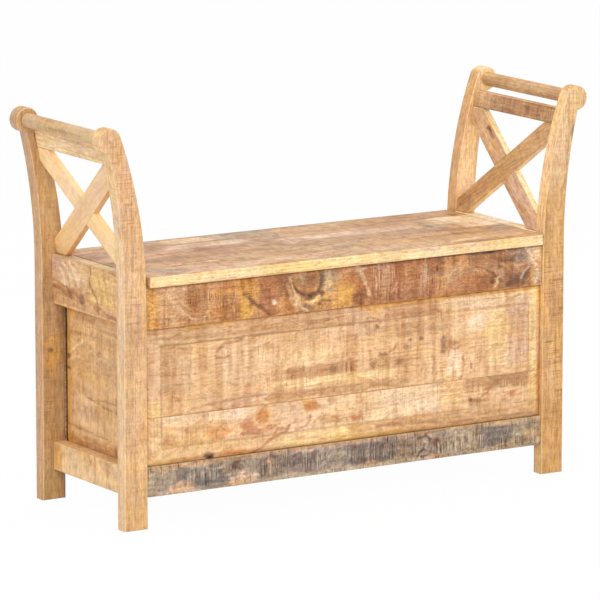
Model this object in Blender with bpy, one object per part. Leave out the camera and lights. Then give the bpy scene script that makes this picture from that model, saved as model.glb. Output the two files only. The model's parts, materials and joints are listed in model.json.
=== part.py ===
"""Hall bench in solid wood: a storage box on four legs with a lift-up lid.

The legs lean outward above the seat and end in round scrolls. Between them each arm has a
round rod, a flat slat and two crossed braces. Metres, X to the right, Y to the back, Z up.
The origin is on the floor, at the middle of the bench.
"""
import math

import bmesh
import bpy

for leftover in list(bpy.data.objects):
    bpy.data.objects.remove(leftover, do_unlink=True)

# Overall sizes
WIDTH = 1.030
DEPTH = 0.330
HEIGHT = 0.720
SEAT_HEIGHT = 0.452

# Legs
LEG_WIDTH = 0.0465
LEG_THICK = 0.028
SCROLL_RADIUS = 0.0225
SCROLL_REACH = 0.048
INNER_BEND_HEIGHT = 0.415
OUTER_BEND_HEIGHT = 0.440
OUTER_BEND_RADIUS = 1.0
LEG_ARRIS = 0.0025

# Arms
ROD_DIAMETER = 0.026
SLAT_BOTTOM = 0.648
SLAT_HEIGHT = 0.030
ARM_THICK = 0.013
ARM_INSET = 0.0095
ARM_LEAN = 0.19
BRACE_WIDTH = 0.040
ARM_ARRIS = 0.0012

# Rails
FLOOR_CLEARANCE = 0.056
RAIL_THICK = 0.024
FRONT_RAIL_SETBACK = 0.004
FRONT_TOP_RAIL_HEIGHT = 0.0757
FRONT_BOTTOM_RAIL_HEIGHT = 0.055
SIDE_RAIL_THICK = 0.026
SIDE_RAIL_INSET = 0.020
SIDE_TOP_RAIL_HEIGHT = 0.090
SIDE_BOTTOM_RAIL_HEIGHT = 0.052
REAR_RAIL_SETBACK = 0.008
RAIL_ARRIS = 0.002

# Panels
FRONT_PANEL_THICK = 0.016
FRONT_FIELD_SETBACK = 0.003
FRONT_BEVEL_WIDTH = 0.012
FRONT_BEVEL_RISE = 0.007
LOWER_BOARD_HEIGHT = 0.086
SIDE_PANEL_THICK = 0.014
SIDE_PANEL_LAP = 0.015
SIDE_PANEL_SLIT = 0.0043
SIDE_BEVEL_WIDTH = 0.026
SIDE_BEVEL_RISE = 0.0055
PANEL_LIP = 0.001
REAR_PANEL_THICK = 0.012

# Lid
LID_THICK = 0.020
LID_PROUD = 0.006
LID_END_GAP = 0.0015
LID_CORNER_RADIUS = 0.008
LID_REAR_BOARD = 0.062
LID_ARRIS = 0.002
BATTEN_INSET = 0.139
BATTEN_WIDTH = 0.045
BATTEN_THICK = 0.015
BATTEN_SETBACK = 0.040

# Inside the box
FLOOR_THICK = 0.010
FLOOR_BOARDS = 3
BEARER_SIZE = 0.020
POST_SIZE = 0.022

# Hinges
HINGE_INSET = 0.139
HINGE_LENGTH = 0.060
LEAF_WIDTH = 0.018
LEAF_THICK = 0.0008
KNUCKLE_RADIUS = 0.0035
KNUCKLE_GAP = 0.0003
PIN_RADIUS = 0.0015
PIN_CLEARANCE = 0.0002
PIN_HEAD_RADIUS = 0.0026
PIN_HEAD_LENGTH = 0.0012
PIN_OFFSET = 0.004
SCREWS_PER_LEAF = 2

# Screws
SCREW_HEAD_RADIUS = 0.0030
SCREW_SHANK_RADIUS = 0.0015
SCREW_SINK = 0.0016
LEAF_SCREW_LENGTH = 0.014
BATTEN_SCREW_LENGTH = 0.026
SCREW_CLEARANCE = 0.0003

# Fits and facets
GAP = 0.0003
SCROLL_STEPS = 26
BEND_STEPS = 9
CORNER_STEPS = 4
ROUND_SIDES = 28
SMALL_SIDES = 12
SHARP_ANGLE = math.radians(32.0)

# Places that follow from the sizes
LEG_OUTER = WIDTH / 2 - SCROLL_REACH
LEG_INNER = LEG_OUTER - LEG_WIDTH
LEG_FRONT = -DEPTH / 2 + LID_PROUD
LEG_REAR = DEPTH / 2
BETWEEN_FRONT = LEG_FRONT + LEG_THICK
BETWEEN_REAR = LEG_REAR - LEG_THICK
SCROLL_X = WIDTH / 2 - SCROLL_RADIUS
SCROLL_Z = HEIGHT - SCROLL_RADIUS
RAIL_HALF = LEG_INNER - GAP
LID_BOTTOM = SEAT_HEIGHT - LID_THICK
LID_FRONT = -DEPTH / 2
LID_REAR = LEG_REAR - REAR_RAIL_SETBACK
LID_HALF = LEG_INNER - LID_END_GAP
HINGE_GAP = 2 * LEAF_THICK + 3 * GAP
FRONT_RAIL_FACE = LEG_FRONT + FRONT_RAIL_SETBACK
FRONT_RAIL_BACK = FRONT_RAIL_FACE + RAIL_THICK
REAR_RAIL_FACE = LEG_REAR - REAR_RAIL_SETBACK
REAR_RAIL_BACK = REAR_RAIL_FACE - RAIL_THICK
FRONT_RAIL_TOP = LID_BOTTOM - GAP
REAR_RAIL_TOP = LID_BOTTOM - HINGE_GAP
TOP_RAIL_BOTTOM = FRONT_RAIL_TOP - FRONT_TOP_RAIL_HEIGHT
BOTTOM_RAIL_TOP = FLOOR_CLEARANCE + FRONT_BOTTOM_RAIL_HEIGHT
SIDE_OUTER = LEG_OUTER - SIDE_RAIL_INSET
SIDE_INNER = SIDE_OUTER - SIDE_RAIL_THICK
SIDE_TOP_BOTTOM = SEAT_HEIGHT - SIDE_TOP_RAIL_HEIGHT
SIDE_BOTTOM_TOP = FLOOR_CLEARANCE + SIDE_BOTTOM_RAIL_HEIGHT
SIDE_PANEL_FACE = SIDE_INNER - GAP
SIDE_PANEL_BACK = SIDE_PANEL_FACE - SIDE_PANEL_THICK
BEARER_TOP = SIDE_BOTTOM_TOP - SIDE_PANEL_LAP - FLOOR_THICK - 2 * GAP
FLOOR_BOTTOM = BEARER_TOP + GAP
FLOOR_TOP = FLOOR_BOTTOM + FLOOR_THICK
PIN_Y = LID_REAR + PIN_OFFSET
PIN_Z = LID_BOTTOM - HINGE_GAP / 2
ARM_HALF = ARM_THICK / 2 * math.hypot(1.0, ARM_LEAN)
ARM_BASE = LEG_INNER + ARM_INSET

# Colours of the timber, from the palest piece to the darkest, and of the metal
TONES = {
    "pale": (0.86, 0.66, 0.43),
    "honey": (0.78, 0.54, 0.32),
    "tan": (0.70, 0.49, 0.31),
    "rose": (0.67, 0.46, 0.33),
    "brown": (0.50, 0.30, 0.18),
    "grey": (0.45, 0.39, 0.32),
    "plain": (0.66, 0.50, 0.34),
    "steel": (0.62, 0.60, 0.56),
}


def material(tone):
    """One Principled material for each tone, made the first time that it is asked for."""
    name = "steel" if tone == "steel" else "wood_" + tone
    found = bpy.data.materials.get(name)
    if found:
        return found
    made = bpy.data.materials.new(name)
    made.use_nodes = True
    shader = made.node_tree.nodes["Principled BSDF"]
    shader.inputs["Base Color"].default_value = (*TONES[tone], 1.0)
    shader.inputs["Roughness"].default_value = 0.35 if tone == "steel" else 0.6
    shader.inputs["Metallic"].default_value = 1.0 if tone == "steel" else 0.0
    made.diffuse_color = (*TONES[tone], 1.0)
    return made


def finish(name, shape, tone):
    """Turn the faces outward and put the shape into the scene under its name."""
    bmesh.ops.recalc_face_normals(shape, faces=shape.faces)
    mesh = bpy.data.meshes.new(name)
    shape.to_mesh(mesh)
    shape.free()
    piece = bpy.data.objects.new(name, mesh)
    bpy.context.collection.objects.link(piece)
    mesh.materials.append(material(tone))
    return piece


def close_rings(shape, rings):
    """Join rings of equal count with quads, and cap the first and the last."""
    for ring, following in zip(rings, rings[1:]):
        for i in range(len(ring)):
            j = (i + 1) % len(ring)
            shape.faces.new((ring[i], ring[j], following[j], following[i]))
    shape.faces.new(rings[0])
    shape.faces.new(rings[-1])


def prism(name, outline, low, high, axis, tone):
    """A flat outline carried along an axis. The outline's two numbers keep X, Y, Z order."""
    place = {
        "X": lambda a, b, along: (along, a, b),
        "Y": lambda a, b, along: (a, along, b),
        "Z": lambda a, b, along: (a, b, along),
    }[axis]
    shape = bmesh.new()
    rings = [[shape.verts.new(place(a, b, along)) for a, b in outline] for along in (low, high)]
    close_rings(shape, rings)
    return finish(name, shape, tone)


def rectangle(a, b):
    return [(a[0], b[0]), (a[1], b[0]), (a[1], b[1]), (a[0], b[1])]


def box(name, x, y, z, tone):
    return prism(name, rectangle(x, y), z[0], z[1], "Z", tone)


def turned(name, profile, centre, axis, sides, tone):
    """A profile of (distance along the axis, radius) turned about an axis through the centre."""
    shape = bmesh.new()
    rings = []
    for along, radius in profile:
        ring = []
        for i in range(sides):
            angle = 2 * math.pi * i / sides
            across = radius * math.cos(angle)
            up = radius * math.sin(angle)
            offset = [across, up]
            offset.insert("XYZ".index(axis), along)
            ring.append(shape.verts.new([c + o for c, o in zip(centre, offset)]))
        rings.append(ring)
    close_rings(shape, rings)
    piece = finish(name, shape, tone)
    piece.data.shade_smooth()
    piece.data.set_sharp_from_angle(angle=SHARP_ANGLE)
    return piece


def ease(piece, width, segments=2):
    """Round the arrises of a sawn piece."""
    bevel = piece.modifiers.new("arris", "BEVEL")
    bevel.width = width
    bevel.segments = segments
    bevel.limit_method = "ANGLE"
    bevel.angle_limit = SHARP_ANGLE
    return piece


def hide_tool(tool):
    """A shape that only cuts or adds to another one is not a piece of the bench."""
    tool.hide_render = True
    tool.display_type = "WIRE"
    return tool


def hang_lid():
    """Hang everything that turns with the lid on an empty that lies on the pins' axis."""
    pivot = bpy.data.objects.new("lid_pivot", None)
    pivot.location = (0.0, PIN_Y, PIN_Z)
    bpy.context.collection.objects.link(pivot)
    for piece in bpy.data.objects:
        if piece.name.startswith(("lid_board", "lid_batten", "batten_screw", "hinge_lid")):
            piece.parent = pivot
            piece.location = -pivot.location


def combine(piece, tool, operation):
    change = piece.modifiers.new(operation.lower(), "BOOLEAN")
    change.operation = operation
    change.solver = "EXACT"
    change.object = tool
    hide_tool(tool)


def join_tools(name, tools):
    """Several separate cutting shapes as one."""
    shape = bmesh.new()
    for tool in tools:
        shape.from_mesh(tool.data)
        bpy.data.objects.remove(tool, do_unlink=True)
    mesh = bpy.data.meshes.new(name)
    shape.to_mesh(mesh)
    shape.free()
    joined = bpy.data.objects.new(name, mesh)
    bpy.context.collection.objects.link(joined)
    return hide_tool(joined)


def arc(centre, radius, start, end, steps):
    """Points on a circle from one angle to another, both ends included."""
    points = []
    for i in range(steps + 1):
        angle = start + (end - start) * i / steps
        points.append((centre[0] + radius * math.cos(angle), centre[1] + radius * math.sin(angle)))
    return points


def lower_crossing(first, first_radius, second, second_radius):
    """The lower of the two points where two circles cross."""
    dx = second[0] - first[0]
    dz = second[1] - first[1]
    apart = math.hypot(dx, dz)
    along = (first_radius ** 2 - second_radius ** 2 + apart ** 2) / (2 * apart)
    aside = math.sqrt(max(first_radius ** 2 - along ** 2, 0.0))
    foot = (first[0] + along * dx / apart, first[1] + along * dz / apart)
    crossings = [(foot[0] + s * aside * dz / apart, foot[1] - s * aside * dx / apart) for s in (-1, 1)]
    return min(crossings, key=lambda point: point[1])


def leg_outline():
    """The right-hand leg seen from the front, anticlockwise from its inner toe.

    Both long edges rise straight and then bend outward on an arc. The inner arc runs into
    the scroll's circle without a corner. The outer arc meets it in a notch under the scroll.
    """
    scroll = (SCROLL_X, SCROLL_Z)
    reach = SCROLL_X - LEG_INNER
    rise = SCROLL_Z - INNER_BEND_HEIGHT
    inner_radius = (reach ** 2 + rise ** 2 - SCROLL_RADIUS ** 2) / (2 * (reach - SCROLL_RADIUS))
    inner_centre = (LEG_INNER + inner_radius, INNER_BEND_HEIGHT)
    outer_centre = (LEG_OUTER + OUTER_BEND_RADIUS, OUTER_BEND_HEIGHT)
    notch = lower_crossing(outer_centre, OUTER_BEND_RADIUS, scroll, SCROLL_RADIUS)
    outer_end = math.atan2(notch[1] - outer_centre[1], notch[0] - outer_centre[0])
    scroll_start = math.atan2(notch[1] - scroll[1], notch[0] - scroll[0])
    tangent = math.atan2(scroll[1] - inner_centre[1], scroll[0] - inner_centre[0])
    outline = [(LEG_INNER, 0.0), (LEG_OUTER, 0.0)]
    outline += arc(outer_centre, OUTER_BEND_RADIUS, math.pi, outer_end, BEND_STEPS)
    outline += arc(scroll, SCROLL_RADIUS, scroll_start, tangent, SCROLL_STEPS)[1:]
    outline += arc(inner_centre, inner_radius, tangent, math.pi, BEND_STEPS)[1:]
    return outline


def make_legs():
    outline = leg_outline()
    ends = {"front": (LEG_FRONT, BETWEEN_FRONT), "rear": (BETWEEN_REAR, LEG_REAR)}
    for side_name, side in (("left", -1), ("right", 1)):
        for end_name, (low, high) in ends.items():
            shaped = [(side * x, z) for x, z in outline]
            leg = prism(f"leg_{end_name}_{side_name}", shaped, low, high, "Y", "honey")
            ease(leg, LEG_ARRIS)


def arm_centre(z):
    """How far from the middle of the bench the arm's thin frame stands at a height."""
    return ARM_BASE + ARM_LEAN * (z - SEAT_HEIGHT)


def leaning(name, outline, low, high, side, tone):
    """An outline in Y and Z, made solid between two planes that lean with the arm."""
    shape = bmesh.new()
    rings = []
    for offset in (low, high):
        rings.append([shape.verts.new((side * arm_centre(z) + offset, y, z)) for y, z in outline])
    close_rings(shape, rings)
    return finish(name, shape, tone)


def keep_side(outline, normal, limit):
    """The part of an outline where its distance along the normal is at most the limit."""
    kept = []
    for i, point in enumerate(outline):
        following = outline[(i + 1) % len(outline)]
        here = point[0] * normal[0] + point[1] * normal[1] - limit
        there = following[0] * normal[0] + following[1] * normal[1] - limit
        if here <= 0:
            kept.append(point)
        if here * there < 0:
            share = here / (here - there)
            kept.append(tuple(a + share * (b - a) for a, b in zip(point, following)))
    return kept


def strip(start, end, width, extra):
    """A straight strip along a line, lengthened at both ends."""
    length = math.hypot(end[0] - start[0], end[1] - start[1])
    along = ((end[0] - start[0]) / length, (end[1] - start[1]) / length)
    across = (-along[1] * width / 2, along[0] * width / 2)
    first = (start[0] - along[0] * extra, start[1] - along[1] * extra)
    last = (end[0] + along[0] * extra, end[1] + along[1] * extra)
    return [
        (first[0] - across[0], first[1] - across[1]),
        (last[0] - across[0], last[1] - across[1]),
        (last[0] + across[0], last[1] + across[1]),
        (first[0] + across[0], first[1] + across[1]),
    ]


def make_arm(side_name, side):
    """Rod, slat and two crossed braces, which share the thickness where they cross."""
    rod_length = BETWEEN_REAR - BETWEEN_FRONT - 2 * GAP
    edge = ARM_ARRIS
    radius = ROD_DIAMETER / 2
    profile = [(0, radius - edge), (edge, radius), (rod_length - edge, radius), (rod_length, radius - edge)]
    start = (side * SCROLL_X, BETWEEN_FRONT + GAP, SCROLL_Z)
    turned(f"arm_rod_{side_name}", profile, start, "Y", ROUND_SIDES, "tan")

    front = BETWEEN_FRONT + GAP
    rear = BETWEEN_REAR - GAP
    slat = rectangle((front, rear), (SLAT_BOTTOM, SLAT_BOTTOM + SLAT_HEIGHT))
    slat_piece = leaning(f"arm_slat_{side_name}", slat, -ARM_HALF, ARM_HALF, side, "tan")
    ease(slat_piece, ARM_ARRIS)

    low = SEAT_HEIGHT + GAP
    high = SLAT_BOTTOM - GAP
    diagonals = {"front_high": ((front, high), (rear, low)), "rear_high": ((rear, high), (front, low))}
    limits = (((-1, 0), -front), ((1, 0), rear), ((0, -1), -low), ((0, 1), high))
    braces = {}
    for brace_name, (start, end) in diagonals.items():
        outline = strip(start, end, BRACE_WIDTH, BRACE_WIDTH)
        for normal, limit in limits:
            outline = keep_side(outline, normal, limit)
        name = f"arm_brace_{brace_name}_{side_name}"
        braces[brace_name] = leaning(name, outline, -ARM_HALF, ARM_HALF, side, "pale")
        ease(braces[brace_name], ARM_ARRIS)

    past = ARM_HALF * 2
    cuts = {
        "front_high": (diagonals["rear_high"], -GAP / 2, past),
        "rear_high": (diagonals["front_high"], -past, GAP / 2),
    }
    for brace_name, ((start, end), offset_low, offset_high) in cuts.items():
        middle = ((start[0] + end[0]) / 2, (start[1] + end[1]) / 2)
        share = BRACE_WIDTH * 2 / math.hypot(end[0] - start[0], end[1] - start[1])
        near = tuple(m + share * (s - m) for m, s in zip(middle, start))
        far = tuple(m + share * (e - m) for m, e in zip(middle, end))
        outline = strip(near, far, BRACE_WIDTH + 2 * GAP, BRACE_WIDTH)
        tool = leaning(f"lap_{brace_name}_{side_name}", outline, offset_low, offset_high, side, "pale")
        combine(braces[brace_name], tool, "DIFFERENCE")


def make_rails():
    for side_name, side in (("left", -1), ("right", 1)):
        x = tuple(sorted((side * SIDE_INNER, side * SIDE_OUTER)))
        y = (BETWEEN_FRONT + GAP, BETWEEN_REAR - GAP)
        top = box(f"side_top_rail_{side_name}", x, y, (SIDE_TOP_BOTTOM, SEAT_HEIGHT), "tan")
        bottom = box(f"side_bottom_rail_{side_name}", x, y, (FLOOR_CLEARANCE, SIDE_BOTTOM_TOP), "tan")
        ease(top, RAIL_ARRIS)
        ease(bottom, RAIL_ARRIS)
    x = (-RAIL_HALF, RAIL_HALF)
    front = (FRONT_RAIL_FACE, FRONT_RAIL_BACK)
    rear = (REAR_RAIL_BACK, REAR_RAIL_FACE)
    ease(box("front_top_rail", x, front, (TOP_RAIL_BOTTOM, FRONT_RAIL_TOP), "brown"), RAIL_ARRIS)
    ease(box("front_bottom_rail", x, front, (FLOOR_CLEARANCE, BOTTOM_RAIL_TOP), "grey"), RAIL_ARRIS)
    ease(box("rear_bottom_rail", x, rear, (FLOOR_CLEARANCE, BOTTOM_RAIL_TOP), "plain"), RAIL_ARRIS)
    rear_top = box("rear_top_rail", x, rear, (TOP_RAIL_BOTTOM, REAR_RAIL_TOP), "plain")
    return ease(rear_top, RAIL_ARRIS)


def raised_panel(name, back, loops, place, tone):
    """A board whose face climbs through nested rectangles.

    Each loop is a rectangle and a level, and back is the level of the flat inner face.
    """
    outline = rectangle(*loops[0][0])
    shape = bmesh.new()
    rings = [[shape.verts.new(place(a, b, back)) for a, b in outline]]
    for (first, second), level in loops:
        rings.append([shape.verts.new(place(a, b, level)) for a, b in rectangle(first, second)])
    close_rings(shape, rings)
    return finish(name, shape, tone)


def make_front_panel():
    """Two edge-glued boards, with the bevel round their common outline."""
    field = LEG_FRONT + FRONT_FIELD_SETBACK
    edge = field + FRONT_BEVEL_RISE
    back = field + FRONT_PANEL_THICK
    bottom = BOTTOM_RAIL_TOP + GAP
    seam = BOTTOM_RAIL_TOP + LOWER_BOARD_HEIGHT
    top = TOP_RAIL_BOTTOM - GAP
    inset = FRONT_BEVEL_WIDTH
    outer_x = (-RAIL_HALF, RAIL_HALF)
    inner_x = (-RAIL_HALF + inset, RAIL_HALF - inset)
    boards = {
        "front_panel_lower": ((bottom, seam - GAP / 2), (bottom + inset, seam - GAP / 2)),
        "front_panel_upper": ((seam + GAP / 2, top), (seam + GAP / 2, top - inset)),
    }
    for name, (outer_z, inner_z) in boards.items():
        loops = [((outer_x, outer_z), edge), ((inner_x, inner_z), field)]
        raised_panel(name, back, loops, lambda x, z, level: (x, level, z), "rose")


def make_side_panel(side_name, side):
    """A raised panel behind the side rails, with a slit between it and the rear leg."""
    front = FRONT_RAIL_BACK + GAP
    rear = BETWEEN_REAR - SIDE_PANEL_SLIT
    low = FLOOR_TOP + GAP
    high = SIDE_TOP_BOTTOM + SIDE_PANEL_LAP
    field = SIDE_PANEL_FACE + SIDE_BEVEL_RISE
    inset = SIDE_BEVEL_WIDTH
    start_y = (front + PANEL_LIP, rear - PANEL_LIP)
    loops = [
        (((front, rear), (low, high)), SIDE_PANEL_FACE),
        ((start_y, (SIDE_BOTTOM_TOP + GAP, SIDE_TOP_BOTTOM - GAP)), SIDE_PANEL_FACE),
        (((front + inset, rear - inset), (SIDE_BOTTOM_TOP + inset, SIDE_TOP_BOTTOM - inset)), field),
    ]
    name = f"side_panel_{side_name}"
    raised_panel(name, SIDE_PANEL_BACK, loops, lambda y, z, level: (side * level, y, z), "tan")


def make_rear_panel():
    x = (-RAIL_HALF, RAIL_HALF)
    setback = (RAIL_THICK - REAR_PANEL_THICK) / 2
    y = (REAR_RAIL_BACK + setback, REAR_RAIL_FACE - setback)
    bottom = BOTTOM_RAIL_TOP + GAP
    top = TOP_RAIL_BOTTOM - GAP
    seam = (bottom + top) / 2
    box("rear_panel_lower", x, y, (bottom, seam - GAP / 2), "plain")
    box("rear_panel_upper", x, y, (seam + GAP / 2, top), "plain")


def make_inside():
    """Bearers, floor boards and corner posts of the storage box."""
    y_front = FRONT_RAIL_BACK + GAP
    y_rear = REAR_RAIL_BACK - GAP
    x_half = SIDE_INNER - GAP
    bearer_z = (BEARER_TOP - BEARER_SIZE, BEARER_TOP)
    bearer_x = (-SIDE_PANEL_BACK, SIDE_PANEL_BACK)
    box("floor_bearer_front", bearer_x, (y_front, y_front + BEARER_SIZE), bearer_z, "plain")
    box("floor_bearer_rear", bearer_x, (y_rear - BEARER_SIZE, y_rear), bearer_z, "plain")
    board = (y_rear - y_front + GAP) / FLOOR_BOARDS
    for i in range(FLOOR_BOARDS):
        y = (y_front + i * board, y_front + (i + 1) * board - GAP)
        box(f"floor_board_{i + 1}", (-x_half, x_half), y, (FLOOR_BOTTOM, FLOOR_TOP), "plain")
    post_z = (FLOOR_TOP + GAP, REAR_RAIL_TOP - GAP)
    post_y = {"front": (y_front, y_front + POST_SIZE), "rear": (y_rear - POST_SIZE, y_rear)}
    for side_name, side in (("left", -1), ("right", 1)):
        face = SIDE_PANEL_BACK - GAP
        x = tuple(sorted((side * face, side * (face - POST_SIZE))))
        for end_name, y in post_y.items():
            box(f"corner_post_{end_name}_{side_name}", x, y, post_z, "plain")


def screw_profile(length, spare, direction):
    """A countersunk head and a plain shank. The spare widens it all over, for its hole."""
    head = SCREW_HEAD_RADIUS + spare
    shank = SCREW_SHANK_RADIUS + spare
    point = length + spare
    profile = [(0.0, head), (SCREW_SINK, shank), (point - shank, shank), (point, shank / 2)]
    if spare:
        profile.insert(0, (-spare, head))
    return [(direction * along, radius) for along, radius in profile]


def make_screws(name, places, direction, length):
    """Vertical screws from the places of their heads. Returns the shape of their holes."""
    profile = screw_profile(length, 0.0, direction)
    wider = screw_profile(length, SCREW_CLEARANCE, direction)
    holes = []
    for i, place in enumerate(places):
        turned(f"{name}_{i + 1}", profile, place, "Z", SMALL_SIDES, "steel")
        holes.append(turned(f"{name}_hole_{i + 1}", wider, place, "Z", SMALL_SIDES, "steel"))
    return join_tools(name + "_holes", holes)


def make_lid():
    """Edge-glued boards, the front one with rounded corners, and two battens under them."""
    radius = LID_CORNER_RADIUS
    rear_edge = LID_REAR - LID_REAR_BOARD
    middle_edge = (LID_FRONT + rear_edge) / 2
    half = LID_HALF
    left_corner = arc((-half + radius, LID_FRONT + radius), radius, math.pi, 1.5 * math.pi, CORNER_STEPS)
    right_corner = arc((half - radius, LID_FRONT + radius), radius, 1.5 * math.pi, 2 * math.pi, CORNER_STEPS)
    front_back = middle_edge - GAP / 2
    front_outline = left_corner + right_corner + [(half, front_back), (-half, front_back)]
    middle = rectangle((-half, half), (middle_edge + GAP / 2, rear_edge - GAP / 2))
    rear = rectangle((-half, half), (rear_edge + GAP / 2, LID_REAR))
    boards = {}
    for name, outline in (("front", front_outline), ("middle", middle), ("rear", rear)):
        boards[name] = prism(f"lid_board_{name}", outline, LID_BOTTOM, SEAT_HEIGHT, "Z", "rose")
    ease(boards["front"], LID_ARRIS)
    for name in ("middle", "rear"):
        ease(boards[name], GAP, 1)

    batten_z = (LID_BOTTOM - GAP - BATTEN_THICK, LID_BOTTOM - GAP)
    batten_y = (FRONT_RAIL_BACK + BATTEN_SETBACK, REAR_RAIL_BACK - BATTEN_SETBACK)
    screw_y = (
        (batten_y[0] + middle_edge) / 2,
        (middle_edge + rear_edge) / 2,
        (rear_edge + batten_y[1]) / 2,
    )
    places = []
    battens = []
    for side_name, side in (("left", -1), ("right", 1)):
        centre = side * (LID_HALF - BATTEN_INSET)
        x = (centre - BATTEN_WIDTH / 2, centre + BATTEN_WIDTH / 2)
        batten = box(f"lid_batten_{side_name}", x, batten_y, batten_z, "plain")
        battens.append(ease(batten, RAIL_ARRIS))
        places += [(centre, y, batten_z[0]) for y in screw_y]
    holes = make_screws("batten_screw", places, 1, BATTEN_SCREW_LENGTH)
    for piece in (*battens, *boards.values()):
        combine(piece, holes, "DIFFERENCE")
    return boards["rear"]


def leaf_outline(x_middle, tongues):
    """A leaf seen from above: a plate whose tongues reach back to the pin."""
    half = HINGE_LENGTH / 2
    plate_end = PIN_Y - KNUCKLE_RADIUS - GAP
    outline = [(half, plate_end - LEAF_WIDTH), (-half, plate_end - LEAF_WIDTH)]
    for low, high in tongues:
        corners = [(low, plate_end), (low, PIN_Y), (high, PIN_Y), (high, plate_end)]
        if low == -half:
            corners = corners[1:]
        if high == half:
            corners = corners[:-1]
        outline += corners
    if tongues[0][0] != -half:
        outline.insert(2, (-half, plate_end))
        outline.append((half, plate_end))
    return [(x_middle + x, y) for x, y in outline]


def make_hinge(side_name, x_middle):
    """A butt hinge of three knuckles. The middle one belongs to the lid's leaf."""
    half = HINGE_LENGTH / 2
    third = HINGE_LENGTH / 6
    inner = third - KNUCKLE_GAP / 2
    outer = third + KNUCKLE_GAP / 2
    axis_point = (x_middle, PIN_Y, PIN_Z)
    lid_z = (LID_BOTTOM - GAP - LEAF_THICK, LID_BOTTOM - GAP)
    frame_z = (REAR_RAIL_TOP + GAP, REAR_RAIL_TOP + GAP + LEAF_THICK)
    plans = {"lid": (((-inner, inner),), lid_z), "frame": (((-half, -outer), (outer, half)), frame_z)}
    leaves = {}
    for leaf_name, (tongues, z) in plans.items():
        name = f"hinge_{leaf_name}_leaf_{side_name}"
        leaf = prism(name, leaf_outline(x_middle, tongues), z[0], z[1], "Z", "steel")
        for i, (low, high) in enumerate(tongues):
            profile = [(low, KNUCKLE_RADIUS), (high, KNUCKLE_RADIUS)]
            knuckle = turned(f"{name}_knuckle_{i}", profile, axis_point, "X", SMALL_SIDES, "steel")
            combine(leaf, knuckle, "UNION")
        bore_radius = PIN_RADIUS + PIN_CLEARANCE
        reach = half + KNUCKLE_RADIUS
        bore = [(-reach, bore_radius), (reach, bore_radius)]
        tool = turned(f"{name}_bore", bore, axis_point, "X", SMALL_SIDES, "steel")
        combine(leaf, tool, "DIFFERENCE")
        leaves[leaf_name] = leaf
    head_start = half + GAP
    head_end = head_start + PIN_HEAD_LENGTH
    pin = [
        (-head_end, PIN_HEAD_RADIUS),
        (-head_start, PIN_HEAD_RADIUS),
        (-head_start, PIN_RADIUS),
        (head_start, PIN_RADIUS),
        (head_start, PIN_HEAD_RADIUS),
        (head_end, PIN_HEAD_RADIUS),
    ]
    turned(f"hinge_pin_{side_name}", pin, axis_point, "X", SMALL_SIDES, "steel")
    return leaves


def make_hinges(lid_board, rear_rail):
    screw_y = PIN_Y - KNUCKLE_RADIUS - GAP - LEAF_WIDTH / 2
    leaves = {"lid": [], "frame": []}
    columns = []
    for side_name, side in (("left", -1), ("right", 1)):
        x_middle = side * (LID_HALF - HINGE_INSET)
        for leaf_name, leaf in make_hinge(side_name, x_middle).items():
            leaves[leaf_name].append(leaf)
        spacing = HINGE_LENGTH / SCREWS_PER_LEAF
        first = x_middle - spacing * (SCREWS_PER_LEAF - 1) / 2
        columns += [first + spacing * i for i in range(SCREWS_PER_LEAF)]
    lid_face = LID_BOTTOM - GAP - LEAF_THICK
    frame_face = REAR_RAIL_TOP + GAP + LEAF_THICK
    lid_places = [(x, screw_y, lid_face) for x in columns]
    lid_holes = make_screws("hinge_lid_screw", lid_places, 1, LEAF_SCREW_LENGTH)
    frame_places = [(x, screw_y, frame_face) for x in columns]
    frame_holes = make_screws("hinge_frame_screw", frame_places, -1, LEAF_SCREW_LENGTH)
    for piece in (*leaves["lid"], lid_board):
        combine(piece, lid_holes, "DIFFERENCE")
    for piece in (*leaves["frame"], rear_rail):
        combine(piece, frame_holes, "DIFFERENCE")


make_legs()
for arm_name, arm_side in (("left", -1), ("right", 1)):
    make_arm(arm_name, arm_side)
    make_side_panel(arm_name, arm_side)
rear_top_rail = make_rails()
make_front_panel()
make_rear_panel()
make_inside()
lid_rear_board = make_lid()
make_hinges(lid_rear_board, rear_top_rail)
hang_lid()
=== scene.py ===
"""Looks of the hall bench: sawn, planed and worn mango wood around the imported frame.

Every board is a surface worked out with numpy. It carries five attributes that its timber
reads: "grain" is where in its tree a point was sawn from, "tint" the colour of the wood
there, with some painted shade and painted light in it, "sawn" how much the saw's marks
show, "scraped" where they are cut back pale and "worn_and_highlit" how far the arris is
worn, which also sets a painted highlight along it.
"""
import json

import bpy
import numpy as np
from mathutils import Matrix, Vector


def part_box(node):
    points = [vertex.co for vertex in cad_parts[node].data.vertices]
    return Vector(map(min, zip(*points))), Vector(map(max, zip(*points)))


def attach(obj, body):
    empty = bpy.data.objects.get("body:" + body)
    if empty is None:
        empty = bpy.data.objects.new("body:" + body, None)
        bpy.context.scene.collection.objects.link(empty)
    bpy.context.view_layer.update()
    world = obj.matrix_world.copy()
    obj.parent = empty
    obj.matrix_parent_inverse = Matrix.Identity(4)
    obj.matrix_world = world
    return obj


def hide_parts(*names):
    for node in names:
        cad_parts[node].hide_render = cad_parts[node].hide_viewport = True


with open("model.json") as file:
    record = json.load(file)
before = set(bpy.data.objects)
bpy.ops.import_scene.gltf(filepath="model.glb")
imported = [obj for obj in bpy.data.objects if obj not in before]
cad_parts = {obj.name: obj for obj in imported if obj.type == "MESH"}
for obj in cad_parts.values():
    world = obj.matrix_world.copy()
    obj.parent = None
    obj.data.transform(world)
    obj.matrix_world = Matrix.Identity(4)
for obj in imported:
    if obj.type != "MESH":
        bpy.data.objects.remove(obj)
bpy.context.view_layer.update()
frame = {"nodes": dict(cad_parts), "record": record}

# Sizes that the frame was built with, in metres
MM = 0.001
LEG_INNER, LEG_OUTER = 0.4205, 0.467
INNER_BEND_HEIGHT, OUTER_BEND_HEIGHT = 0.415, 0.440
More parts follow.
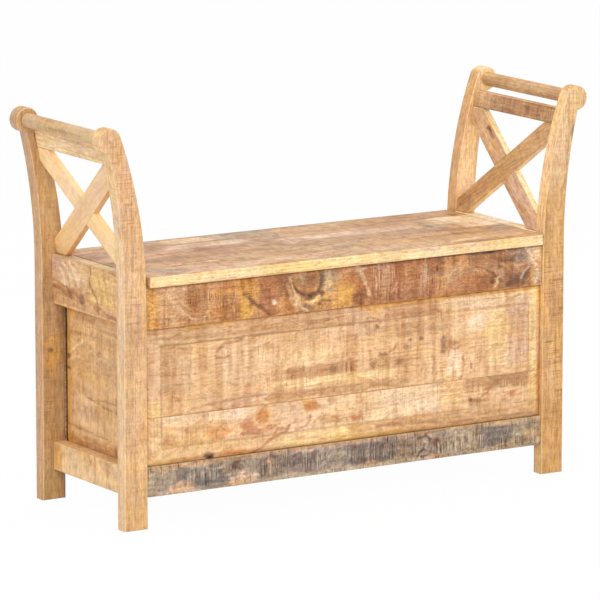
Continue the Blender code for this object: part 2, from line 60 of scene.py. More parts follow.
OUTER_BEND_RADIUS = 1.0
LEG_ARRIS = 0.0025
SCROLL_X, SCROLL_Z, SCROLL_RADIUS = 0.4925, 0.6975, 0.0225
ARM_BASE, ARM_LEAN, SEAT_HEIGHT = 0.430, 0.19, 0.452
ARM_HALF, ARM_ARRIS = 0.0066, 0.0012
BRACE_WIDTH = 0.040
RAIL_ARRIS = 0.002
SEAM_ARRIS = 0.0004
LID_CORNER_RADIUS = 0.008
FRONT_BEVEL, FRONT_BORDER, FRONT_RISE = 0.012, 0.030, 0.007
SIDE_BEVEL, SIDE_RISE = 0.026, 0.0055
HIDDEN_ARRIS = 0.001
GAP = 0.0003
SAME_PLACE = 0.00001

# Spacing of the grid lines on the flat of each kind of board
FRONT_STEP, BOARD_STEP, HIDDEN_STEP = 0.0022, 0.0026, 0.0045
LEG_STEP, ARM_STEP, ARM_EDGE_STEP, ROD_STEP = 0.0023, 0.0024, 0.003, 0.0028

# What the front panel's cove, its border and the step to its field each rise, half the step's
# width, the seam between the boards at its bottom and its top, and how wide the ridges wear,
# which is also how wide their painted highlight is
COVE_RISE, BORDER_RISE, FIELD_RISE = 0.0056, 0.0008, 0.0006
STEP_HALF = 0.001
SEAM_FLOOR, SEAM_TOP = 0.0002, 0.0012
BEVEL_WEAR, BORDER_WEAR, SIDE_WEAR = 0.0016, 0.0014, 0.002

# The leg's notch under its scroll, and where its rows stop near the scroll's top
NOTCH_ARRIS = 0.0002
SCROLL_STOP, SCROLL_ROWS = np.radians(85.5), 40

# A brace's rows: the shortest one, how far out they are looked for, and the lap's steep side
BRACE_END_ARRIS = 0.0008
SHORTEST_ROW, FARTHEST_ROW = 0.0009, 0.3
LAP_STEP = 0.0002
ROD_LINES = 19

# How deep the faces wave, the arrises wear and are nicked, and the saw furrows
WAVE_DEPTH, WEAR_DEPTH, NICK_DEPTH, FURROW_DEPTH = 0.0001, 0.00025, 0.0005, 0.00012

# Outputs of an attribute node, and the object's own coordinates on a coordinate node
AS_COLOUR, AS_PLACE, AS_NUMBER = 0, 1, 2
OBJECT_PLACE = 3

# Places of the grid lines on a rounded arris, as shares of its radius
ARRIS_SHARES = 1 - np.tan(np.radians([45, 30, 15, 0]))
AXIS = {"x": 0, "y": 1, "z": 2}
FACE_PLANE = {"x": (1, 2), "y": (0, 2), "z": (0, 1)}


# Noise on whole arrays

STRIDES = np.array([374761393, 668265263, 1274126177], np.uint32)
CORNERS = (np.array(list(np.ndindex(2, 2, 2)), np.uint32) * STRIDES).sum(axis=1, dtype=np.uint32)


def scrambled(number):
    """A value from 0 to 1 for each whole number, by mixing its bits."""
    number = (number ^ (number >> 15)) * np.uint32(2246822519)
    number = (number ^ (number >> 13)) * np.uint32(3266489917)
    return (number ^ (number >> 16)) / 4294967295.0


def noise(points, seed):
    """Smooth noise from -1 to 1: the values of a cell's eight corners, mixed by a cubic."""
    cell = np.floor(points)
    part = points - cell
    part = part * part * (3 - 2 * part)
    number = (cell.astype(np.int32).view(np.uint32) * STRIDES).sum(axis=1, dtype=np.uint32)
    number += np.uint32(seed * 1442695041 % 2 ** 32)
    values = [scrambled(number + corner) for corner in CORNERS]
    for k in (2, 1, 0):
        values = [low + (high - low) * part[:, k] for low, high in zip(values[::2], values[1::2])]
    return 2 * values[0] - 1


def cloud(points, seed, octaves=3):
    """Octaves of noise, each twice as fine and half as strong as the one before."""
    total = np.zeros(len(points))
    for octave in range(octaves):
        total += noise(points * 2 ** octave, seed + 17 * octave) / 2 ** octave
    return total / (2 - 2.0 ** (1 - octaves))


def stretched(place, scale, seed, octaves=3):
    """The cloud at a place whose three parts are each scaled first."""
    return cloud(np.column_stack([part * by for part, by in zip(place, scale)]), seed, octaves)


def climb(value, low, high):
    """0 below low, 1 above high, with an S-curve between them."""
    part = np.clip((value - low) / (high - low), 0, 1)
    return part * part * (3 - 2 * part)


def linear(colour):
    """A colour as a screen shows it, 0 to 255, as linear light."""
    value = np.array(colour) / 255.0
    return np.where(value <= 0.04045, value / 12.92, ((value + 0.055) / 1.055) ** 2.4)


# Surfaces. Each returns its points, their directions outward, how near each is to an arris
# from 0 to 1, and its quads.

def ticks(low, high, arris, step, extra=()):
    """Places of grid lines along an edge: fine over the two arrises, then evenly spaced."""
    flat_low = low + arris[0] * 1.25
    flat_high = high - arris[1] * 1.25
    count = max(int(np.ceil((flat_high - flat_low) / step)), 1)
    even = np.linspace(flat_low, flat_high, count + 1)
    wanted = np.array([place for place in extra if flat_low < place < flat_high])
    if len(wanted):
        apart = np.abs(even[:, None] - wanted[None]).min(axis=1)
        even = np.concatenate([even[apart > step * 0.3], wanted])
    places = [low + arris[0] * ARRIS_SHARES, even, high - arris[1] * ARRIS_SHARES]
    places = np.sort(np.concatenate(places))
    return places[np.append(True, np.diff(places) > SAME_PLACE)]


def cells(rows, columns):
    """The four corners of each cell of a grid whose points are numbered row by row."""
    corner = np.arange(rows * columns).reshape(rows, columns)
    corners = [corner[:-1, :-1], corner[:-1, 1:], corner[1:, 1:], corner[1:, :-1]]
    return np.stack(corners, axis=-1).reshape(-1, 4)


def shell(lines):
    """The surface of a box as six grids, joined along their shared edges."""
    parts = []
    faces = []
    count = 0
    for k in range(3):
        i, j = (k + 1) % 3, (k + 2) % 3
        across, along = np.meshgrid(lines[i], lines[j])
        for end in (0, -1):
            points = np.empty((across.size, 3))
            points[:, i] = across.ravel()
            points[:, j] = along.ravel()
            points[:, k] = lines[k][end]
            quads = cells(len(lines[j]), len(lines[i])) + count
            faces.append(quads if end else quads[:, ::-1])
            parts.append(points)
            count += len(points)
    points = np.concatenate(parts)
    keys = np.round(points * 1e7).astype(np.int64)
    _, first, index = np.unique(keys, axis=0, return_index=True, return_inverse=True)
    return points[first], index.ravel()[np.concatenate(faces)]


def rounded(inner, reach, part):
    """Points at the arris's reach from the inner shape, where part is 1 long on a flat face."""
    length = np.linalg.norm(part, axis=1, keepdims=True)
    outward = part / length
    return inner + reach * outward, outward, climb(length[:, 0], 1.02, 1.3)


def board(box, arris, step, corner_radius=0.0):
    """A sawn board: its box, with every arris drawn in to a quarter ellipse.

    arris has a pair of radii for each axis. The corner radius rounds its two front corners as
    seen from above, by drawing their square grid in to a quarter disc.
    """
    low, high = (np.array(end) for end in box)
    arris = np.array(arris)
    points, quads = shell([ticks(low[k], high[k], arris[k], step) for k in range(3)])
    inner = np.clip(points, low + arris[:, 0], high - arris[:, 1])
    reach = np.where(points < inner, arris[:, 0], arris[:, 1])
    part = (points - inner) / reach
    if corner_radius:
        radius = arris[1, 0]
        for side, end in ((-1, low[0]), (1, high[0])):
            centre = np.array([end - side * corner_radius, low[1] + corner_radius])
            offset = points[:, :2] - centre
            near = (offset[:, 0] * side > 0) & (offset[:, 1] < 0)
            square = np.abs(offset[near]).max(axis=1, keepdims=True)
            direction = offset[near] / np.linalg.norm(offset[near], axis=1, keepdims=True)
            kept = np.minimum(square, corner_radius - radius)
            inner[near, :2] = centre + direction * kept
            part[near, :2] = direction * (square - kept) / radius
    return (*rounded(inner, reach, part), quads)


def slab(cap, low, high, radius, step):
    """A flat shape, given as a grid of points (a, b), made solid from low to high along c.

    Near its rim a point is drawn in by its distances to the outline and to the nearer face,
    which together go round a quarter circle.
    """
    rows, columns = cap.shape[:2]
    flat = cap.reshape(-1, 2)
    number = np.arange(rows * columns).reshape(rows, columns)
    loop = np.concatenate([number[0, :-1], number[:-1, -1], number[-1, :0:-1], number[:0:-1, 0]])
    start = flat[loop]
    following = np.roll(start, -1, axis=0)
    edge = following - start
    length = (edge ** 2).sum(axis=1)
    normal = np.column_stack([edge[:, 1], -edge[:, 0]]) / np.sqrt(length)[:, None]
    distance = np.empty(len(flat))
    side = np.empty((len(flat), 2))
    for chunk in np.array_split(np.arange(len(flat)), len(flat) // 1500 + 1):
        offset = flat[chunk, None] - start[None]
        part = np.clip((offset * edge).sum(axis=2) / length, 0, 1)
        gap = np.linalg.norm(offset - part[..., None] * edge, axis=2)
        distance[chunk] = gap.min(axis=1)
        close = gap < distance[chunk][:, None] + 1e-6
        side[chunk] = (close[..., None] * normal).sum(axis=1)
    area = (start[:, 0] * following[:, 1] - start[:, 1] * following[:, 0]).sum()
    side *= np.sign(area) / np.maximum(np.linalg.norm(side, axis=1, keepdims=True), 1e-9)

    middle = ticks(low, high, (radius, radius), step)[1:-1]
    count = len(flat)
    of_flat = np.concatenate([np.arange(count), np.arange(count), np.tile(loop, len(middle))])
    depth = np.concatenate([np.full(count, low), np.full(count, high), np.repeat(middle, len(loop))])
    first = 2 * count + len(loop) * np.arange(len(middle))
    bands = np.concatenate([loop[None], first[:, None] + np.arange(len(loop)), loop[None] + count])
    ring = np.concatenate([bands, bands[:, :1]], axis=1)
    wall = np.stack([ring[:-1, :-1], ring[:-1, 1:], ring[1:, 1:], ring[1:, :-1]], axis=-1)
    top = cells(rows, columns)
    quads = np.concatenate([top[:, ::-1], top + count, wall.reshape(-1, 4)])

    from_rim = np.clip(radius - distance[of_flat], 0, radius)
    inner_depth = np.clip(depth, low + radius, high - radius)
    drawn = side[of_flat] * from_rim[:, None]
    inner = np.column_stack([flat[of_flat] - drawn, inner_depth])
    part = np.column_stack([drawn, depth - inner_depth]) / radius
    return (*rounded(inner, radius, part), quads)


def raised(box, axes, level, step, extra):
    """A panel: a box whose good face climbs to a level that is a function of its place.

    axes are the world's axes along, up and through the panel. level gives the inner face's
    place, and the good face's place and its ridges' wear and painted highlight from 0 to 1 for
    arrays of points.
    """
    low, high = box
    seam = (SEAM_ARRIS, SEAM_ARRIS)
    lines = [ticks(low[k], high[k], seam, step, more) for k, more in zip(axes, extra)]
    points, quads = shell(lines + [np.array([0.0, 0.5, 1.0])])
    back, height, ridge_wear_and_highlight = level(points[:, 0], points[:, 1])
    share = points[:, 2].copy()
    points[:, 2] = back + share * (height - back)
    outward = np.zeros_like(points)
    for k in (0, 1):
        outward[points[:, k] <= lines[k][0], k] = -1
        outward[points[:, k] >= lines[k][-1], k] = 1
    on_face = share > 0.99
    out = np.sign(height.mean() - back)
    outward[on_face] = (0, 0, out)
    outward[share < 0.01] = (0, 0, -out)
    outward /= np.linalg.norm(outward, axis=1, keepdims=True)
    order = np.argsort(axes)
    return points[:, order], outward[:, order], ridge_wear_and_highlight * on_face, quads


def rod(centre, span, radius, arris, step):
    """A turned rod along Y: a square grid drawn in to a disc, carried along the rod."""
    squares = np.linspace(-1, 1, ROD_LINES)
    points, quads = shell([squares, ticks(*span, (arris, arris), step), squares])
    offset = points[:, ::2]
    square = np.abs(offset).max(axis=1)
    direction = offset / np.maximum(np.linalg.norm(offset, axis=1, keepdims=True), 1e-9)
    kept = np.minimum(square * radius, radius - arris)
    over = (square * radius - kept) / arris
    inner_y = np.clip(points[:, 1], span[0] + arris, span[1] - arris)
    x, z = direction.T
    inner = np.column_stack([centre[0] + x * kept, inner_y, centre[1] + z * kept])
    part = np.column_stack([x * over, (points[:, 1] - inner_y) / arris, z * over])
    return (*rounded(inner, arris, part), quads)


# Shapes of this bench

def leg_cap():
    """Rows of points across a right-hand leg, from its foot to the top of its scroll.

    Each long edge is straight and then bends outward on an arc. The inner arc runs into the
    scroll's circle, and the outer one meets it in a notch. Above that both ends of a row are
    on the circle. The rows stop a few degrees short of its top.
    """
    reach = SCROLL_X - LEG_INNER
    rise = SCROLL_Z - INNER_BEND_HEIGHT
    inner_radius = (reach ** 2 + rise ** 2 - SCROLL_RADIUS ** 2) / (2 * (reach - SCROLL_RADIUS))
    inner_centre = LEG_INNER + inner_radius
    toward = np.array([SCROLL_X - inner_centre, rise])
    join = SCROLL_Z + SCROLL_RADIUS * toward[1] / np.hypot(*toward)
    outer_centre = LEG_OUTER + OUTER_BEND_RADIUS

    def outer_arc(z):
        above = np.clip(z - OUTER_BEND_HEIGHT, 0, None)
        return outer_centre - np.sqrt(OUTER_BEND_RADIUS ** 2 - above ** 2)

    def half_chord(z):
        return np.sqrt(np.maximum(SCROLL_RADIUS ** 2 - (z - SCROLL_Z) ** 2, 0))

    trial = np.linspace(SCROLL_Z - SCROLL_RADIUS, SCROLL_Z - 0.5 * SCROLL_RADIUS, 4001)
    notch = trial[np.abs(outer_arc(trial) - SCROLL_X - half_chord(trial)).argmin()]
    straight = ticks(0, notch, (LEG_ARRIS, NOTCH_ARRIS), LEG_STEP, (INNER_BEND_HEIGHT, OUTER_BEND_HEIGHT))
    angles = np.linspace(np.arcsin((notch - SCROLL_Z) / SCROLL_RADIUS), SCROLL_STOP, SCROLL_ROWS)[1:]
    z = np.concatenate([straight, SCROLL_Z + SCROLL_RADIUS * np.sin(angles)])
    inner = inner_centre - np.sqrt(inner_radius ** 2 - np.clip(z - INNER_BEND_HEIGHT, 0, None) ** 2)
    inner = np.where(z > join, SCROLL_X - half_chord(z), inner)
    outer = np.where(z > notch, SCROLL_X + half_chord(z), outer_arc(z))
    width = LEG_OUTER - LEG_INNER
    share = ticks(0, width, (LEG_ARRIS, LEG_ARRIS), LEG_STEP) / width
    x = inner[:, None] + (outer - inner)[:, None] * share
    return np.stack([x, np.repeat(z[:, None], len(share), axis=1)], axis=-1)


def leg(side, front, rear):
    """A leg: its outline in X and Z, made solid along Y, and mirrored for the left side."""
    points, outward, rim, quads = slab(leg_cap(), front, rear, LEG_ARRIS, BOARD_STEP)
    order = [0, 2, 1]
    turn = np.array([side, 1, 1])
    return points[:, order] * turn, outward[:, order] * turn, rim, quads


def leaning(shape, side):
    """A flat shape in Y and Z, stood in the plane that leans outward with the arm."""
    points, outward, rim, quads = shape
    x = side * (ARM_BASE + ARM_LEAN * (points[:, 1] - SEAT_HEIGHT)) + points[:, 2]
    return np.column_stack([x, points[:, :2]]), outward[:, [2, 0, 1]], rim, quads


def brace(start, end, crossing, over, side, opening):
    """A brace cut to the arm's opening, and thinned to half where the other one crosses it.

    Its rows run parallel to the other brace. Each reaches from edge to edge of the strip, or
    to the opening's side where that comes first. over is the face that stays whole, -1 or 1.
    """
    start, end, crossing = (np.array(value) for value in (start, end, crossing))
    middle = (start + end) / 2
    along = (end - start) / np.linalg.norm(end - start)
    other = crossing / np.linalg.norm(crossing)
    square = np.array([-along[1], along[0]])
    lean = abs(along[0] * other[1] - along[1] * other[0])
    half = BRACE_WIDTH / 2
    low, high = (np.array(corner) for corner in opening)
    limits = [(square, half + square @ middle), (-square, half - square @ middle)]
    for k in (0, 1):
        toward = np.eye(2)[k]
        limits += [(toward, high[k]), (-toward, -low[k])]

    def reach(s):
        """Lowest and highest place along the other brace's direction at each row."""
        least = np.full(len(s), -1.0)
        most = np.full(len(s), 1.0)
        for direction, limit in limits:
            slope = direction @ other
            bound = (limit - direction @ middle - s * (direction @ along)) / slope
            if slope > 0:
                most = np.minimum(most, bound)
            else:
                least = np.maximum(least, bound)
        return least, most

    trial = np.linspace(-FARTHEST_ROW, FARTHEST_ROW, 12001)
    least, most = reach(trial)
    inside = trial[most - least > SHORTEST_ROW]
    wanted = []
    for u in (-half, half):
        for k in (0, 1):
            for place in (low[k], high[k]):
                s = (place - middle[k] - u * square[k]) / along[k]
                corner = s * along + u * square
                wanted.append(np.linalg.solve(np.column_stack([along, other]), corner)[0])
    lap = (half + GAP) / lean
    wanted += [-lap - LAP_STEP, -lap + LAP_STEP, lap - LAP_STEP, lap + LAP_STEP]
    s = ticks(inside[0], inside[-1], (BRACE_END_ARRIS, BRACE_END_ARRIS), ARM_STEP, wanted)
    least, most = reach(s)
    share = ticks(0, BRACE_WIDTH, (ARM_ARRIS, ARM_ARRIS), ARM_STEP) / BRACE_WIDTH
    w = least[:, None] + (most - least)[:, None] * share
    cap = middle + s[:, None, None] * along + w[..., None] * other
    points, outward, rim, quads = slab(cap, -ARM_HALF, ARM_HALF, ARM_ARRIS, ARM_EDGE_STEP)
    from_other = (points[:, :2] - middle) @ np.array([-other[1], other[0]])
    crossed = np.abs(from_other) < half + GAP
    thin = (ARM_HALF - GAP) / (2 * ARM_HALF)
    kept = over * ARM_HALF
    points[crossed, 2] = kept + (points[crossed, 2] - kept) * thin
    return leaning((points, outward, rim, quads), side)


def slat(side, opening):
    """A flat board across the arm's opening, leaning with it."""
    low, high = opening
    lines = [ticks(low[k], high[k], (ARM_ARRIS, ARM_ARRIS), ARM_STEP) for k in (0, 1)]
    cap = np.stack(np.meshgrid(*lines), axis=-1)
    return leaning(slab(cap, -ARM_HALF, ARM_HALF, ARM_ARRIS, ARM_EDGE_STEP), side)


def front_level(half, edge_z, seam_z, field, back):
    """How far the front panel stands out: a coved bevel, a nearly flat border, a small step."""
    def level(x, z):
        from_edge = np.minimum(half - np.abs(x), np.abs(z - edge_z))
        rise = COVE_RISE * np.sin(np.clip(from_edge / FRONT_BEVEL, 0, 1) * np.pi / 2)
        rise += BORDER_RISE * climb(from_edge, FRONT_BEVEL, FRONT_BORDER - STEP_HALF)
        rise += FIELD_RISE * climb(from_edge, FRONT_BORDER - STEP_HALF, FRONT_BORDER + STEP_HALF)
        rise -= FIELD_RISE * (1 - climb(np.abs(z - seam_z), SEAM_FLOOR, SEAM_TOP))
        # Worn ridges at the bevel's top and at the field's step, which also carry a painted highlight
        ridge_wear_and_highlight = 0.7 * np.exp(-((from_edge - FRONT_BEVEL) / BEVEL_WEAR) ** 2)
        ridge_wear_and_highlight += 0.5 * np.exp(-((from_edge - FRONT_BORDER) / BORDER_WEAR) ** 2)
        return back, field + FRONT_RISE - rise, ridge_wear_and_highlight
    return level


def side_level(front, rear, low, high, field, back):
    """How far a side panel stands out: one long flat bevel up to the field."""
    def level(y, z):
        from_edge = np.minimum(np.minimum(y - front, rear - y), np.minimum(z - low, high - z))
        share = np.clip(from_edge / SIDE_BEVEL, 0, 1)
        # A worn ridge at the bevel's top, which also carries a painted highlight
        ridge_wear_and_highlight = 0.6 * np.exp(-((from_edge - SIDE_BEVEL) / SIDE_WEAR) ** 2)
        return back, field - np.sign(field) * SIDE_RISE * (1 - share), ridge_wear_and_highlight
    return level


# Colours of the wood

DARK_WOOD = np.array([0.68, 0.53, 0.38])
PALE_WOOD = np.array([1.17, 1.27, 1.34])
OCHRE_SHIFT = np.array([0.04, 0.0, -0.26])
KNOT_CORE = linear((96, 56, 32))
# Colours for stains, and for the painted shade and painted light laid on with them
STAIN_AND_SHADING_COLOURS = {
    "milk": (245, 215, 180), "cream": (245, 210, 150), "sand": (230, 195, 150), "ash": (210, 190, 170),
    "straw": (230, 190, 125), "putty": (220, 180, 145), "apricot": (230, 180, 125), "honey": (220, 175, 125),
    "biscuit": (210, 170, 130), "gold": (230, 180, 90), "tan": (205, 160, 115), "pewter": (175, 155, 130),
    "amber": (215, 160, 85), "fawn": (195, 145, 100), "rust": (210, 140, 75), "hazel": (185, 140, 95),
    "russet": (190, 120, 80), "taupe": (155, 130, 105), "toffee": (175, 125, 85), "cinnamon": (175, 115, 75),
    "walnut": (155, 110, 75), "stone": (150, 135, 120), "slate": (125, 105, 90), "flint": (115, 105, 100),
    "umber": (145, 95, 65), "bark": (120, 75, 50), "coffee": (90, 60, 50), "soot": (50, 30, 20),
}


def in_tree(along, across, depth, look):
    """Where a point lay in its tree: how far up, how far from the pith, and where round it.

    The pith runs beside the board and wanders. The rings swell round each knot.
    """
    seed = look["seed"]
    pith = np.array(look.get("pith", (10, -70))) * MM
    path = np.column_stack([along * 3.1, np.full_like(along, 0.3), np.full_like(along, seed * 1.7)])
    sway = look.get("sway", 14) * MM
    a = across - pith[0] - sway * cloud(path, seed, 2)
    b = depth - pith[1] - 0.5 * sway * cloud(path + 9.1, seed, 2)
    ripple = look.get("ripple", 2.6) * MM
    rings = np.hypot(a, b) + ripple * stretched((along, across, depth), (9, 26, 26), seed + 5)
    for x, y, width, height in look.get("knots", ()):
        u = (along - x * MM) / (width * MM * 2.0)
        v = (across - y * MM) / (height * MM * 1.6)
        rings += height * MM * 0.9 * np.exp(-(u * u + v * v))
    return np.column_stack([along, rings, np.arctan2(a, b) * 0.05 + depth])


def blot(u, v, oval, seed):
    """1 inside an oval and 0 outside it, with a ragged rim. Sizes are in millimetres."""
    x, y, width, height, *tilt = oval
    turn = np.radians(tilt[0] if tilt else 0)
    u, v = u - x * MM, v - y * MM
    u, v = u * np.cos(turn) + v * np.sin(turn), v * np.cos(turn) - u * np.sin(turn)
    far = np.hypot(u / (width * MM), v / (height * MM))
    mask = np.zeros(len(u))
    near = far < 2.4
    if near.any():
        cell = np.clip(min(width, height), 4, 11) * MM
        place = np.column_stack([u[near] / (1.5 * cell), v[near] / cell, np.full(near.sum(), seed * 0.37)])
        ragged = far[near] + 0.9 * cloud(place, seed + 31, 4)
        mask[near] = (1 - climb(ragged, 0.55, 1.25)) * (0.85 + 0.3 * noise(place * 3.1, seed + 32))
    return mask


def band(u, v, span, seed):
    """1 inside a rectangle and 0 outside it, with ragged edges. Sizes are in millimetres.

    The span is left, right, low and high, then how soft the edges across u and across v are.
    """
    left, right, low, high, soft_u, soft_v = (value * MM for value in (*span, 10, 3)[:6])
    place = np.column_stack([u * 0.5 / soft_u, v * 0.5 / soft_v, np.full(len(u), seed * 0.41)])
    inside = np.minimum(np.minimum(u - left, right - u) / soft_u, np.minimum(v - low, high - v) / soft_v)
    return climb(inside + 1.6 * cloud(place, seed + 3, 4), -0.7, 0.7)


def vein(u, v, course, seed):
    """1 on a line and 0 away from it. The line wavers, swells and breaks.

    The course is the line's width and then the places it runs through, in millimetres.
    """
    width, *path = course
    place = np.column_stack([u * 60, v * 60, np.full(len(u), seed * 0.23)])
    bent_u = u + 4 * MM * cloud(place, seed, 4)
    bent_v = v + 4 * MM * cloud(place + 5, seed + 1, 4)
    nearest = np.full(len(u), 1.0)
    corners = np.reshape(path, (-1, 2)) * MM
    for start, end in zip(corners[:-1], corners[1:]):
        edge = end - start
        reached = (bent_u - start[0]) * edge[0] + (bent_v - start[1]) * edge[1]
        part = np.clip(reached / (edge @ edge), 0, 1)
        gap = np.hypot(bent_u - start[0] - part * edge[0], bent_v - start[1] - part * edge[1])
        nearest = np.minimum(nearest, gap)
    swell = 1.1 + 0.7 * noise(place * 0.7, seed + 2)
    broken = climb(noise(place * 2.6, seed + 4), -0.9, 0.2)
    return (1 - climb(nearest / (width * MM * swell), 0.1, 1.6)) * (0.5 + 0.5 * broken)


def facing(outward, face):
    """1 where a surface faces a way such as "-y", and 0 where it turns away from it."""
    sign = -1 if face[0] == "-" else 1
    return climb(outward[:, AXIS[face[1]]] * sign, 0.5, 0.85)


# Shapes for stains, and for the painted shade and painted light laid on with them
STAIN_AND_SHADING_SHAPES = {"bands": band, "marks": blot, "veins": vein}


def placed(look, kind):
    """The entries of one kind on a board, numbered, each with the face that it lies on."""
    return enumerate((face, entry) for face, entries in look.get(kind, {}).items() for entry in entries)


def stained_and_shaded(colour, kind, points, outward, look):
    """The colour under one kind of stains, painted shade and painted light. Each is a shape, a colour and a
    strength.
    """
    for i, (face, (*shape, shade, strength)) in placed(look, kind):
        u, v = (points[:, k] for k in FACE_PLANE[face[1]])
        share = strength * STAIN_AND_SHADING_SHAPES[kind](u, v, shape, look["seed"] + 7 * i) * facing(outward, face)
        colour = colour + (linear(STAIN_AND_SHADING_COLOURS[shade]) - colour) * share[:, None]
    return colour


def busy(outward, look):
    """How much of a board's figure and saw marks show on each face: 1 where none is named calm."""
    share = np.ones(len(outward))
    for face, part in look.get("calm", {}).items():
        share += (part - 1) * facing(outward, face)
    return share


def colour_of(points, outward, grain, look, across):
    """The colour of the wood at each point.

    A base colour for each face takes broad bands and stains; some face colours and bands are
    painted shade and painted light. Over them lie streaks along the grain, curly blotches, the
    planer's chatter across the grain and a slow drift between ochre and pink. Lines and knots
    come last.
    """
    seed = look["seed"]
    along, depth = grain[:, 0], grain[:, 2]
    colour = np.tile(linear(look["base"]), (len(points), 1))
    for face, shade in look.get("faces", {}).items():
        colour += (linear(shade) - colour) * facing(outward, face)[:, None]
    colour = stained_and_shaded(colour, "bands", points, outward, look)
    colour = stained_and_shaded(colour, "marks", points, outward, look)

    curl = look.get("curl", 7) * MM
    place = np.column_stack([along * 14, across * 30, depth * 30])
    curled_along = along + 2.2 * curl * cloud(place, seed + 50, 3)
    curled_across = across + curl * cloud(place + 3.7, seed + 51, 3)
    streaks = look.get("streaks", 0.6)
    blotches = look.get("blotches", 0.5)
    flow = stretched((curled_along, grain[:, 1], depth), (2.6, 95, 60), seed, 4)
    thin = stretched((curled_along, grain[:, 1], depth), (7.0, 300, 190), seed + 2, 2)
    patch = stretched((curled_along, curled_across, depth), (17, 40, 30), seed + 3, 4)
    fleck = stretched((curled_along, curled_across, depth), (62, 120, 90), seed + 4, 3)
    dark = streaks * (0.42 * climb(-flow, 0.02, 0.45) + 0.25 * climb(-thin, 0.05, 0.6))
    dark += blotches * (0.6 * climb(-patch, 0.04, 0.42) + 0.5 * climb(-fleck, 0.05, 0.5))
    pale = streaks * (0.48 * climb(flow, 0.02, 0.45) + 0.3 * climb(thin, 0.05, 0.6))
    pale += blotches * (0.48 * climb(patch, 0.04, 0.42) + 0.4 * climb(fleck, 0.05, 0.5))
    chatter = look.get("chatter", 0.25)
    cut = stretched((along, across, depth), (120, 14, 14), seed + 6, 3)
    dark += chatter * climb(-cut, 0.0, 0.5)
    pale += chatter * climb(cut, 0.0, 0.5)
    colour *= 1 + (DARK_WOOD - 1) * (busy(outward, look) * np.clip(dark, 0, 1.3))[:, None]
    colour *= 1 + (PALE_WOOD - 1) * np.clip(pale, 0, 1.1)[:, None]
    drift = stretched((curled_along, curled_across, depth), (6, 18, 12), seed + 60, 3)
    drift += 0.9 * stretched((curled_along, curled_across, depth), (34, 80, 60), seed + 61, 3)
    colour *= 1 + OCHRE_SHIFT * (look.get("drift", 1.0) * drift)[:, None]
    colour = stained_and_shaded(colour, "veins", points, outward, look)

    for x, y, width, height in look.get("knots", ()):
        u = (along - x * MM) / (width * MM)
        v = (across - y * MM) / (height * MM)
        wobble = stretched((along, across, depth), (110, 110, 110), seed + 40, 3)
        far = np.hypot(u, v) + 0.55 * wobble
        share = np.maximum(0.9 * (1 - climb(far, 0.1, 0.75)), 0.45 * (1 - climb(far, 0.6, 1.7)))
        share *= look.get("knot_strength", 0.8) * facing(outward, look["knot_face"])
        colour += (KNOT_CORE * look.get("knot_light", 1.0) - colour) * share[:, None]
    return np.clip(colour, 0, 1)


# Shader maths: a Socket is a node's output, and arithmetic on it adds Math nodes

class Socket:
    def __init__(self, nodes, link):
        self.nodes = nodes
        self.link = link

    def math(self, operation, first, second):
        return self.nodes.add("ShaderNodeMath", {"operation": operation}, {0: first, 1: second})

    def __add__(self, other):
        return self.math("ADD", self, other)

    def __sub__(self, other):
        return self.math("SUBTRACT", self, other)

    def __rsub__(self, other):
        return self.math("SUBTRACT", other, self)

    def __mul__(self, other):
        return self.math("MULTIPLY", self, other)

    __radd__ = __add__
    __rmul__ = __mul__

    def above(self, low, high):
        """0 below low and 1 above high, with an S-curve between them."""
        values = {"Value": self, "From Min": low, "From Max": high}
        return self.nodes.add("ShaderNodeMapRange", {"interpolation_type": "SMOOTHSTEP"}, values)


class Nodes:
    """A node tree, and the one way in which its nodes are added."""

    def __init__(self, tree):
        self.tree = tree
        tree.nodes.clear()

    def add(self, kind, settings=None, values=None, output=0):
        node = self.tree.nodes.new(kind)
        for key, value in (settings or {}).items():
            setattr(node, key, value)
        for key, value in (values or {}).items():
            if isinstance(value, Socket):
                self.tree.links.new(value.link, node.inputs[key])
            else:
                node.inputs[key].default_value = value
        return Socket(self, node.outputs[output]) if len(node.outputs) else None

    def speckle(self, vector, by, detail=2.0, roughness=0.5, distortion=0.0):
        """Noise on a place that is first stretched along each axis."""
        stretched = self.add("ShaderNodeVectorMath", {"operation": "MULTIPLY"}, {0: vector, 1: by})
        values = {"Vector": stretched, "Scale": 1.0, "Detail": detail}
        values.update({"Roughness": roughness, "Distortion": distortion})
        return self.add("ShaderNodeTexNoise", {}, values)

    def times(self, colour, tone):
        """A colour made lighter or darker by a number."""
        return self.add("ShaderNodeVectorMath", {"operation": "SCALE"}, {0: colour, "Scale": tone})

    def blend(self, share, colour, other, mode="MIX"):
        settings = {"data_type": "RGBA", "blend_type": mode}
        return self.add("ShaderNodeMix", settings, {0: share, 6: colour, 7: other}, 2)

    def seen_directly(self):
        """1 for rays from the camera, in a reflection or through glass, and 0 for those that light."""
        outputs = self.add("ShaderNodeLightPath").link.node.outputs
        kinds = ("Camera", "Glossy", "Transmission")
        camera, glossy, glass = (Socket(self, outputs[f"Is {kind} Ray"]) for kind in kinds)
        return self.add("ShaderNodeClamp", {}, {0: camera + glossy + glass})


class Finish(Nodes):
    """A material of nodes."""

    def __init__(self, name):
        self.material = bpy.data.materials.new(name)
        self.material.use_nodes = True
        super().__init__(self.material.node_tree)

    def attribute(self, name, output):
        return self.add("ShaderNodeAttribute", {"attribute_name": name}, output=output)

    def bump(self, height, strength, depth):
        return self.add("ShaderNodeBump", {}, {"Strength": strength, "Distance": depth, "Height": height})

    def shade(self, values):
        shader = self.add("ShaderNodeBsdfPrincipled", {}, values)
        self.add("ShaderNodeOutputMaterial", {}, {"Surface": shader})
        return self.material


def rgba(colour):
    """A colour as a screen shows it, in the form that a colour socket takes."""
    return (*linear(colour), 1.0)


